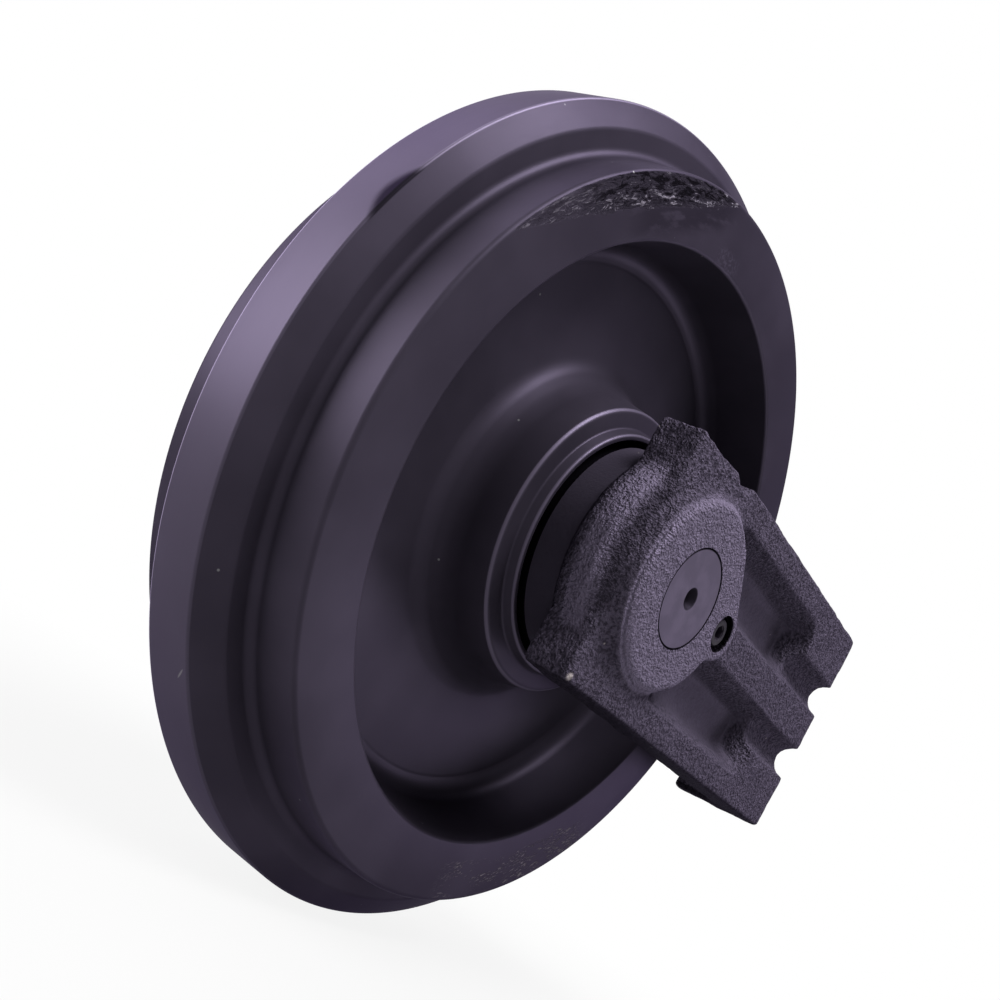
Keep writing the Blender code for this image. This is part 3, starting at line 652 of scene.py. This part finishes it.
nearScrew = socketScrew("socket_screw_near_fine", "socket_screw_near", -1, screwForm)
farScrew = socketScrew("socket_screw_far_fine", "socket_screw_far", 1, screwForm)
nearPin = lockPin("lock_pin_near_fine", "lock_pin_near", pinForm)
farPin = lockPin("lock_pin_far_fine", "lock_pin_far", pinForm)
plug = oilPlug("oil_plug_fine", "oil_plug", plugForm)
print("screws, pins and plug made")


chipTint = (1.0, 0.90, 1.12)  # bare metal and grey scale under the black paint
wheelFinish = {
    "level": 0.031, "paler": 0.040, "roughness": 0.36, "metallic": 0.44, "edgeTint": (0.49, 0.46, 0.56),
    "nearFace": (-0.0400, -0.0390), "flangeEdge": 0.1912, "flangeHalf": 0.0118,
    # noise patterns: size, detail, roughness, distortion
    "cloud": (0.050, 3.0), "cloudBand": (0.35, 0.70), "fine": (0.0016, 2.0), "turning": (0.0011, 2.0),
    "ragged": (0.0050, 4.0, 0.7), "crumble": (0.0024, 5.0, 0.74, 0.5), "hatch": (0.0009, 3.0, 0.6),
    "streaks": (0.0011, 4.0, 0.7), "streakTurn": (0.0, -0.60, 0.0), "streakScale": (3.2, 1.0, 0.7),
    "turningStretch": 0.0004, "rimStretch": 0.0009,  # metres for each degree, along the rim
    # the rough patch on the upper rim face, its angles in degrees
    "patchMiddle": 131.0, "patchHalf": 26.0, "patchFade": 3.0, "patchInner": 0.1525, "patchCurve": 0.00002,
    "patchOuter": 0.1672, "patchOuterFade": 0.0006, "patchRagged": 0.0080, "patchSoft": 0.0008,
    "wornTurn": (6.0, 16.0), "crackBand": (0.44, 0.50), "crackDepth": (0.001, 0.004), "crackWorn": 0.8,
    "chipBand": (0.55, 0.62), "chipDepth": (0.004, 0.011), "chipWorn": 0.6,
    "topChipBand": (0.62, 0.68), "topChipShare": 0.6, "scratchBand": (0.57, 0.66),
    "stainStart": (-30.0, -22.0), "stainEnd": (-4.0, 8.0), "stainBand": (0.30, 0.50),
    "stainDepth": (-0.014, -0.006), "stainFade": 0.0010,
    # scrapes on the lower rim face, a smudge, dust, scratches and a dent on the flange
    "scrapeRing": (0.150, 0.1668, 0.002), "scrapeTurn": (-79.0, -44.0, 4.0), "scrapeBand": (0.54, 0.61),
    "scrapeRagged": (0.44, 0.54), "smudgeTurn": (98.0, 105.0, 2.0), "smudgeRing": (0.141, 0.148, 0.002),
    "smudgeBand": (0.45, 0.60), "dustSize": 0.019, "dustBand": (0.018, 0.034),
    "longScratch": ((-0.1545, -0.0188, -0.1125), (-0.1515, -0.0165, -0.1175), 0.0006),
    "shortScratch": ((-0.1440, -0.0100, -0.1270), (-0.1400, -0.0060, -0.1315), 0.0005),
    "dentTurn": (159.5, 169.5), "dentReach": 0.0072, "dentFade": 0.0050, "dentRagged": 0.0025,
    "dentDown": 0.0006,
    # edges painted bright as painted highlights: (from, to, softness) of the radius and of the distance out
    "edgeDown": 0.0004, "farEdge": (0.0112, 0.0124, 0.0002), "nearEdge": (-0.0123, -0.0113, 0.0002),
    "nearEdgeTurn": (95.0, 160.0, 6.0), "nearEdgeShare": 0.4,
    "rimLip": ((0.1385, 0.1402, 0.0003), (0.0405, 0.0430, 0.0003)), "rimLipTurn": (15.0, 150.0, 20.0),
    "ringLip": ((0.0563, 0.0575, 0.0003), (0.0438, 0.0452, 0.0002)),
    "hubLip": ((0.0662, 0.0678, 0.0004), (0.0378, 0.0398, 0.0002)), "lipShare": 0.25,
    # the flange's outer band (a painted highlight), the far taper (painted shade), the mouth (painted shade)
    # and a crease in the web
    "bandSoft": 0.0002, "farTaperOut": (0.0122, 0.0128), "farTaperRadius": (0.180, 0.182),
    "mouthRadius": (0.0541, 0.0546), "mouthOut": (0.0360, 0.0365),
    "crease": ((0.1240, 0.1256, 0.0007), (-0.0100, -0.0040, 0.001)), "creaseShare": 0.4,
    "roughCloud": 0.10, "roughTurning": 0.05, "roughPatch": 0.20, "roughMouth": 0.4,
    "skinDepth": 0.000022, "dentDepth": 0.00012, "patchDepth": 0.0016,
    "hatchHeight": 0.3, "patchSunk": 0.65, "scrapeHeight": 0.2, "fineHeight": 0.5, "turningHeight": 0.7,
    "marks": {  # how much of each mark shows, its level and its tint, laid in this order
        # the flange's outer band painted paler: a painted highlight
        "outerBandHighlight": (0.45, 0.080, paintTint),
        # the far taper painted darker: painted shade
        "farTaperShade": (0.55, 0.012, paintTint),
        # painted highlights along the flange edges and the rim, ring and hub lips
        "edgeHighlight": (0.80, 0.260, paintTint),
        "stain": (0.55, 0.010, paintTint),
        "patch": (1.00, 0.028, paintTint),
        "wornPatch": (0.80, 0.040, paintTint),
        "cracks": (0.85, 0.003, paintTint),
        "chips": (0.90, 0.280, chipTint),
        "scratches": (0.50, 0.160, chipTint),
        "scrape": (0.85, 0.280, (1.0, 0.88, 1.02)),
        "smudge": (0.35, 0.090, paintTint),
        "dust": (0.55, 0.220, (1.0, 0.99, 1.02)),
        "flangeScratches": (0.50, 0.200, (1.0, 0.98, 1.02)),
        "dent": (0.90, 0.005, paintTint),
        # the inside of the mouth painted near black: painted shade in the recess
        "mouth": (0.92, 0.001, paintTint),
    },
}


def both(first, second, limits):  # where two values are both within their limits
    return first.within(*limits[0]) * second.within(*limits[1])


def patchMarks(paint, form, radius, y, turn, nearFace):  # the patch where paint covers a scaled skin
    alongRim = paint.join(radius, y, turn * form["rimStretch"])  # stretches a pattern along the rim
    ragged = paint.noise(alongRim, *form["ragged"])
    crumble = paint.noise(alongRim, *form["crumble"])
    hatch = paint.noise(paint.join(radius, y, turn * form["turningStretch"]), *form["hatch"])
    fromMiddle = turn - form["patchMiddle"]
    outer = form["patchOuter"]
    depth = radius - (form["patchInner"] + fromMiddle * fromMiddle * form["patchCurve"])
    depth = depth + (ragged - 0.5) * form["patchRagged"]
    patch = depth.above(0.0, form["patchSoft"]) * nearFace
    patch = patch * radius.below(outer, outer + form["patchOuterFade"])
    patch = patch * fromMiddle.maths("ABSOLUTE").below(
        form["patchHalf"], form["patchHalf"] + form["patchFade"])
    wearAndHighlight = fromMiddle.above(*form["wornTurn"])  # the left end is only finely scratched
    cracks = patch * crumble.below(*form["crackBand"]) * (1 - wearAndHighlight * form["crackWorn"])
    chips = patch * crumble.above(*form["chipBand"]) * (1 - wearAndHighlight * form["chipWorn"])
    topChips = patch * crumble.above(*form["topChipBand"]) * (1 - wearAndHighlight) * form["topChipShare"]
    stain = fromMiddle.below(*form["stainEnd"]) * fromMiddle.above(*form["stainStart"])
    stain = stain * ragged.above(*form["stainBand"]) * depth.above(*form["stainDepth"])
    height = patch * (crumble + form["hatchHeight"] * hatch - form["patchSunk"])
    return ragged, patch, height, {
        "stain": stain * radius.below(outer, outer + form["stainFade"]) * nearFace,
        "patch": patch * (1 - wearAndHighlight),
        "wornPatch": patch * wearAndHighlight,
        "cracks": cracks * depth.above(*form["crackDepth"]),
        "chips": (chips * depth.below(*form["chipDepth"])).larger(topChips),
        "scratches": patch * hatch.above(*form["scratchBand"]) * wearAndHighlight,
    }


def highlitEdges(form, radius, y, out, turn):  # sharp edges painted bright as painted highlights, the far flange edge most; the near edge and the rim lip only on their upper side
    near = form["nearEdgeShare"] * y.within(*form["nearEdge"]) * turn.within(*form["nearEdgeTurn"])
    flange = radius.above(form["flangeEdge"] - form["edgeDown"], form["flangeEdge"])
    flange = flange * (y.within(*form["farEdge"]) + near)
    lips = both(radius, out, form["rimLip"]) * turn.within(*form["rimLipTurn"])
    lips = lips.larger(both(radius, out, form["ringLip"])).larger(both(radius, out, form["hubLip"]))
    return flange.larger(lips * form["lipShare"])


def flangeDent(form, radius, y, turn, ragged):  # a long dent at the near edge, fading out at its ends
    start, end = form["dentTurn"]
    along = (turn - start) / (end - start)
    width = along * (1 - along) * 4 * form["dentReach"]
    fromEdge = y + form["flangeHalf"] + (ragged - 0.5) * form["dentRagged"]
    dent = (width - fromEdge).above(0.0, form["dentFade"])
    return dent * radius.above(form["flangeEdge"] - form["dentDown"], form["flangeEdge"])


def wheelPaint(form):
    paint = Paint("blackPaintTurned", tinted(form["level"])[:3], form["roughness"],
                  form["metallic"], 0.0, form["edgeTint"])
    x, y, z, radius, turn = paint.axes()
    out = y.maths("ABSOLUTE")
    where = paint.place()
    cloud = paint.noise(where, *form["cloud"])
    fine = paint.noise(where, *form["fine"])
    turning = paint.noise(paint.join(radius, y, turn * form["turningStretch"]), *form["turning"])
    nearFace = y.below(*form["nearFace"])
    ragged, patch, patchHeight, masks = patchMarks(paint, form, radius, y, turn, nearFace)
    streaks = paint.noise(paint.place(turn=form["streakTurn"], scale=form["streakScale"]), *form["streaks"])
    scrape = streaks.above(*form["scrapeBand"]) * ragged.above(*form["scrapeRagged"]) * nearFace
    scrape = scrape * radius.within(*form["scrapeRing"]) * turn.within(*form["scrapeTurn"])
    smudge = turn.within(*form["smudgeTurn"]) * radius.within(*form["smudgeRing"]) * nearFace
    edge = form["flangeEdge"]
    dent = flangeDent(form, radius, y, turn, ragged)
    # the mouth: painted shade in its colour, and rougher and less metallic there
    mouth = radius.below(*form["mouthRadius"]) * out.above(*form["mouthOut"])
    masks.update({
        "outerBandHighlight": radius.above(edge - form["bandSoft"], edge + form["bandSoft"]),
        "farTaperShade": y.above(*form["farTaperOut"]) * radius.above(*form["farTaperRadius"]),
        "edgeHighlight": highlitEdges(form, radius, y, out, turn),
        "scrape": scrape,
        "smudge": smudge * fine.above(*form["smudgeBand"]),
        "dust": paint.cells(where, form["dustSize"]).below(*form["dustBand"]),
        "flangeScratches": paint.stroke(*form["longScratch"]).larger(paint.stroke(*form["shortScratch"])),
        "dent": dent,
        "mouth": mouth,
    })
    colour = paint.mix(cloud.above(*form["cloudBand"]), tinted(form["level"]), tinted(form["paler"]))
    paint.set("Base Color", paint.marked(colour, masks, form["marks"]))
    rough = form["roughness"] + form["roughCloud"] * cloud + form["roughTurning"] * turning
    paint.set("Roughness", rough + form["roughPatch"] * patch + form["roughMouth"] * mouth)
    paint.set("Metallic", form["metallic"] * (1 - patch.larger(scrape).larger(mouth)))
    crease = both(radius, y, form["crease"]) * form["creaseShare"]
    skin = paint.bump(fine * form["fineHeight"] + turning * form["turningHeight"], form["skinDepth"])
    skin = paint.bump(1 - crease - dent, form["dentDepth"], skin)
    patchHeight = patchHeight + scrape * form["scrapeHeight"]
    paint.set("Normal", paint.bump(patchHeight, form["patchDepth"], skin))
    return paint


castFinish = {
    "level": 0.016, "paler": 0.092, "roughness": 0.52, "metallic": 0.25, "edgeTint": (0.49, 0.46, 0.56),
    # noise patterns: size, detail, roughness
    "grain": (0.0019, 2.0, 0.55), "speckle": (0.0010, 1.0), "broad": (0.010, 3.0),
    "speckleShare": 0.6, "broadShare": 0.4, "height": 0.0040, "hollowBand": (0.62, 0.96),
    # where the skin is smoother: the turned collar, the channels, and all but the pad
    "turnedRadius": (0.0524, 0.0530), "turnedOut": (0.0612, 0.0620), "turnedCalm": 0.94,
    "channelOut": (0.0872, 0.0886), "channelFloor": (0.066, 0.068), "channelAlong": (0.020, 0.146, 0.002),
    "channelUp": (0.0150, 0.0400, 0.003), "channelCalm": 0.75,
    "padOut": (0.0915, 0.0925), "awayFromPad": 0.62, "calmShare": 0.75,
    # (from, to, softness) of the distance from the axis and of the distance out
    "ridge": ((0.0538, 0.0575, 0.0012), (0.0690, 0.0795, 0.0015)), "ridgeShare": 0.5,
    "rim": ((0.0405, 0.0450, 0.0012), (0.0900, 0.0935, 0.0006)), "rimAlong": (0.018, 0.024), "rimShare": 0.6,
    "valleyShade": ((0.0464, 0.0520, 0.0010), (0.0745, 0.0850, 0.0015)),
    "undersideShade": (-0.0584, -0.0574), "boreRadius": (0.0230, 0.0233),
    "screwPlace": 0.0427, "counterboreRadius": (0.0091, 0.0095), "counterboreOut": (0.0932, 0.0937),
    "recessRadius": (0.0505, 0.0508), "recessOut": (0.0466, 0.0469),
    "bareSpot": ((-0.0397, -0.0845, -0.0560), 0.0016, 0.0008), "bareShare": 0.9,
    "dustSize": 0.015, "dustBand": (0.022, 0.036), "dustShare": 0.5,
    "roughGrain": 0.10, "roughTurned": -0.16, "roughRecess": 0.4,
    "marks": {
        # the pad painted paler: a painted highlight for the light its rough skin catches
        "pad": (0.50, 0.1932, paintTint),
        # the high edges painted paler: a painted highlight
        "wearAndHighlight": (1.00, 0.1932, paintTint),
        # the valley between the pad and the shoulder painted darker: painted shade
        "valleyShade": (0.60, 0.012, paintTint),
        "turned": (0.50, 0.014, paintTint),
        # the underside painted darker: painted shade on a downward face
        "undersideShade": (0.75, 0.006, paintTint),
        # the counterbore and the bore painted near black: painted shade in the holes
        "holeShade": (0.95, 0.001, paintTint),
        "bare": (1.00, 0.500, (1.0, 0.88, 0.88)),
        # the recess beside the wheel's mouth painted near black: painted shade
        "recess": (0.96, 0.001, paintTint),
    },
}


def castPaint(form):
    paint = Paint("blackPaintCast", tinted(form["level"])[:3], form["roughness"],
                  form["metallic"], 0.0, form["edgeTint"])
    x, y, z, radius = paint.axes()[:4]
    where = paint.place()
    out = y.maths("ABSOLUTE")
    turned = radius.below(*form["turnedRadius"]) * out.below(*form["turnedOut"])
    turned = turned * x.maths("ABSOLUTE").below(*form["turnedRadius"])
    channel = x.within(*form["channelAlong"]) * z.maths("ABSOLUTE").within(*form["channelUp"])
    channel = channel * out.below(*form["channelOut"]) * out.above(*form["channelFloor"])
    pad = out.above(*form["padOut"])
    grain = paint.noise(where, *form["grain"])
    grit = grain + paint.noise(where, *form["speckle"]) * form["speckleShare"]
    broad = paint.noise(where, *form["broad"])
    rough = (1 - form["turnedCalm"] * turned) * (1 - form["channelCalm"] * channel)
    rough = rough * (form["awayFromPad"] + (1 - form["awayFromPad"]) * pad)
    hollow = grit.above(*form["hollowBand"])  # the paint looks paler on the high grain
    colour = paint.mix(
        hollow * rough + (1 - rough) * form["calmShare"], tinted(form["level"]), tinted(form["paler"]))
    ridge = both(radius, out, form["ridge"]) * form["ridgeShare"]
    rim = both(radius, out, form["rim"]) * x.below(*form["rimAlong"]) * form["rimShare"]
    fromScrew = x - form["screwPlace"]
    counterbore = (fromScrew * fromScrew + z * z).maths("SQRT").below(*form["counterboreRadius"])
    counterbore = counterbore * out.below(*form["counterboreOut"])
    dust = paint.cells(where, form["dustSize"]).below(*form["dustBand"]) * form["dustShare"]
    # recess: painted shade, and rougher
    recess = radius.below(*form["recessRadius"]) * out.below(*form["recessOut"])
    masks = {
        # pad: painted highlight
        "pad": pad,
        "wearAndHighlight": ridge.larger(rim),  # the shoulder's ridge and the front of the pad's rim painted paler: a painted highlight
        "valleyShade": both(radius, out, form["valleyShade"]),
        "turned": turned,
        "undersideShade": z.below(*form["undersideShade"]),
        "holeShade": counterbore.larger(radius.below(*form["boreRadius"])),
        "bare": (paint.spot(*form["bareSpot"]) * form["bareShare"]).larger(dust),
        "recess": recess,
    }
    paint.set("Base Color", paint.marked(colour, masks, form["marks"]))
    level = form["roughness"] + form["roughGrain"] * grain + form["roughTurned"] * turned
    paint.set("Roughness", level + form["roughRecess"] * recess)
    paint.set("Normal", paint.bump((grit + broad * form["broadShare"]) * rough, form["height"]))
    return paint


shaftFinish = {
    "level": 0.080, "paler": 0.098, "roughness": 0.44, "metallic": 0.2, "edgeTint": (0.49, 0.46, 0.56),
    "cloud": (0.009, 3.0), "cloudBand": (0.35, 0.70), "facing": (0.0009, 2.0), "facingStretch": 0.0002,
    "wear": (0.0018, 3.0), "wearBand": (0.62, 0.74), "centreRadius": (0.0048, 0.0054),
    "edgeRadius": (0.0220, 0.0224), "roughCloud": 0.08, "wearHeight": 0.4, "height": 0.00003,
    "marks": {
        # the centre hole painted dark: painted shade in the hole
        "centre": (0.85, 0.006, paintTint),
        # the shaft's outer edge painted near black: painted shade of the gap to the bore
        "edge": (0.95, 0.002, paintTint),
        "wear": (0.30, 0.090, paintTint),
    },
}


def shaftPaint(form):
    paint = Paint("shaftEndPaint", tinted(form["level"])[:3], form["roughness"],
                  form["metallic"], 0.0, form["edgeTint"])
    x, y, z, radius, turn = paint.axes()
    where = paint.place()
    cloud = paint.noise(where, *form["cloud"])
    facing = paint.noise(paint.join(radius, y, turn * form["facingStretch"]), *form["facing"])
    wear = paint.noise(where, *form["wear"])
    masks = {
        # centre: painted shade
        "centre": radius.below(*form["centreRadius"]),
        # edge: painted shade
        "edge": radius.above(*form["edgeRadius"]),
        "wear": wear.above(*form["wearBand"]),
    }
    colour = paint.mix(cloud.above(*form["cloudBand"]), tinted(form["level"]), tinted(form["paler"]))
    paint.set("Base Color", paint.marked(colour, masks, form["marks"]))
    paint.set("Roughness", form["roughness"] + form["roughCloud"] * cloud)
    paint.set("Normal", paint.bump(facing + form["wearHeight"] * wear, form["height"]))
    return paint


plainForm = {
    "grainDetail": 3.0, "grainRough": 0.12, "dark": 0.7, "bright": 3.0, "wearSize": 3.0, "wearDetail": 4.0,
    "wearBand": (0.55, 0.70), "height": 0.00003,
}
plainFinishes = {  # name, colour, roughness, metallic, size of the grain, share of wear, specular
    "steel": ("groundSteel", (0.36, 0.35, 0.36), 0.30, 1.0, 0.0015, 0.0, 0.5),
    "dark_steel": ("blackenedSteel", (0.020, 0.016, 0.025), 0.45, 0.0, 0.0008, 0.1, 0.04),
    "bronze": ("plainBronze", (0.45, 0.28, 0.12), 0.35, 1.0, 0.0020, 0.0, 0.5),
    "rubber": ("sealRubber", (0.012, 0.012, 0.012), 0.65, 0.0, 0.0010, 0.0, 0.5),
}


def plainPaint(form, name, colour, roughness, metallic, grainSize, wear, specular):
    paint = Paint(name, colour, roughness, metallic, specular)
    where = paint.place()
    grain = paint.noise(where, grainSize, form["grainDetail"])
    paint.set("Roughness", roughness + form["grainRough"] * grain)
    dark = tuple(form["dark"] * value for value in colour)
    mixed = paint.mix(grain, (*dark, 1.0), (*colour, 1.0))
    if wear > 0.0:
        bright = tuple(min(1.0, form["bright"] * value) for value in colour)
        wearAndHighlight = paint.noise(where, grainSize * form["wearSize"], form["wearDetail"]).above(*form["wearBand"])
        mixed = paint.mix(wearAndHighlight * wear, mixed, (*bright, 1.0))
    paint.set("Base Color", mixed)
    paint.set("Normal", paint.bump(grain, form["height"]))
    return paint


finishes = {
    "black_paint": wheelPaint(wheelFinish),
    "black_casting": castPaint(castFinish),
    "shaftPaint": shaftPaint(shaftFinish),
}
for slot, values in plainFinishes.items():
    finishes[slot] = plainPaint(plainForm, *values)

dress(wheel, finishes["black_paint"], "wheel", "black_paint", "idler_wheel")
dress(nearBracket, finishes["black_casting"], "carrier", "black_casting", "bracket_near")
dress(farBracket, finishes["black_casting"], "carrier", "black_casting", "bracket_far")
dress(shaft, finishes["shaftPaint"], "carrier", "steel", "shaft")
slots = {row["node"]: row["material_slot"] for row in frame["record"]["subparts"]}
for piece, node in ((nearScrew, "socket_screw_near"), (farScrew, "socket_screw_far"), (plug, "oil_plug")):
    dress(piece, finishes[slots[node]], "carrier", slots[node], node)
for piece, node in ((nearPin, "lock_pin_near"), (farPin, "lock_pin_far")):  # painted like the shaft's end
    dress(piece, finishes["shaftPaint"], "carrier", slots[node], node)
for name, node in frame["nodes"].items():
    if not node.hide_render:
        node.data.materials.clear()
        node.data.materials.append(finishes[slots[name]].material)
print("finishes made")


stageForm = {
    "floorHeight": -0.1922, "floorHalf": 6.0, "floorColour": 0.32, "floorRoughness": 0.9,
    "shadowShare": 0.12, "shadowStart": 0.12, "shadowReach": 0.55, "ambient": 0.03,
}

floorShape = bmesh.new()
bmesh.ops.create_grid(
    floorShape, x_segments=1, y_segments=1, size=stageForm["floorHalf"],
    matrix=Matrix.Translation((0, 0, stageForm["floorHeight"])))
floor = newObject("floor", floorShape)
floorPaint = Paint("paleFloor", (stageForm["floorColour"],) * 3, stageForm["floorRoughness"])
floorX, floorY = floorPaint.axes()[:2]
spread = (floorX * floorX + floorY * floorY).maths("SQRT")
near = spread.below(stageForm["shadowStart"], stageForm["shadowReach"])  # where the shadow shows
glow = floorPaint.add("Emission", {}, {"Color": (1.0, 1.0, 1.0, 1.0), "Strength": 1.0})
share = floorPaint.seenOrMirrored() * (1 - near * stageForm["shadowShare"])
blend = floorPaint.add("MixShader", {}, {
    0: share, 1: Wire(floorPaint, floorPaint.shader.outputs[0]), 2: glow})
floorPaint.put(floorPaint.tree.nodes["Material Output"].inputs["Surface"], blend)
floor.data.materials.append(floorPaint.material)

world = bpy.data.worlds.new("studio")
scene.world = world
world.use_nodes = True
sky = Nodes(world.node_tree)
skyShader = world.node_tree.nodes["Background"]
sky.put(skyShader.inputs["Color"], (1.0, 1.0, 1.0, 1.0))
ambient = stageForm["ambient"]
sky.put(skyShader.inputs["Strength"], ambient + sky.seenOrMirrored() * (1.0 - ambient))

cameraForm = {
    "place": (-0.4490, -0.3266, -0.0920), "right": (0.452, -0.730, 0.513),
    "forward": (0.780, 0.602, 0.170), "lens": 43.36, "sensor": 36.0, "clipStart": 0.01,
}


def aimedMatrix(form):
    right, forward = Vector(form["right"]).normalized(), Vector(form["forward"]).normalized()
    up = right.cross(forward).normalized()
    turn = Matrix((right, up, -forward)).transposed()
    return Matrix.Translation(form["place"]) @ turn.to_4x4()


cameraData = bpy.data.cameras.new("camera")
cameraData.lens = cameraForm["lens"]
cameraData.sensor_width = cameraForm["sensor"]
cameraData.clip_start = cameraForm["clipStart"]
camera = bpy.data.objects.new("camera", cameraData)
scene.collection.objects.link(camera)
camera.matrix_world = aimedMatrix(cameraForm)
scene.camera = camera

lampForm = {  # toward the lamp, distance, size, watts
    "backLamp": ((-0.79, 0.61, 0.08), 1.6, 1.3, 52.0),
    "highBackLamp": ((-0.35, 0.62, 0.70), 1.6, 1.2, 18.0),
    "topLamp": ((-0.04, -0.41, 0.91), 1.6, 0.9, 43.0),
    "frontLamp": ((-0.33, -0.56, 0.76), 1.6, 0.9, 7.0),
    "sideLamp": ((0.81, -0.57, -0.12), 1.6, 0.8, 10.0),
}


def softLamp(name, toward, distance, size, watts):
    direction = Vector(toward).normalized()
    data = bpy.data.lights.new(name, "AREA")
    data.shape = "DISK"
    data.size = size
    data.energy = watts
    lamp = bpy.data.objects.new(name, data)
    scene.collection.objects.link(lamp)
    lamp.location = direction * distance
    lamp.rotation_euler = direction.to_track_quat("Z", "Y").to_euler()


for name, values in lampForm.items():
    softLamp(name, *values)
scene.view_settings.view_transform = "Standard"
print("stage lit")
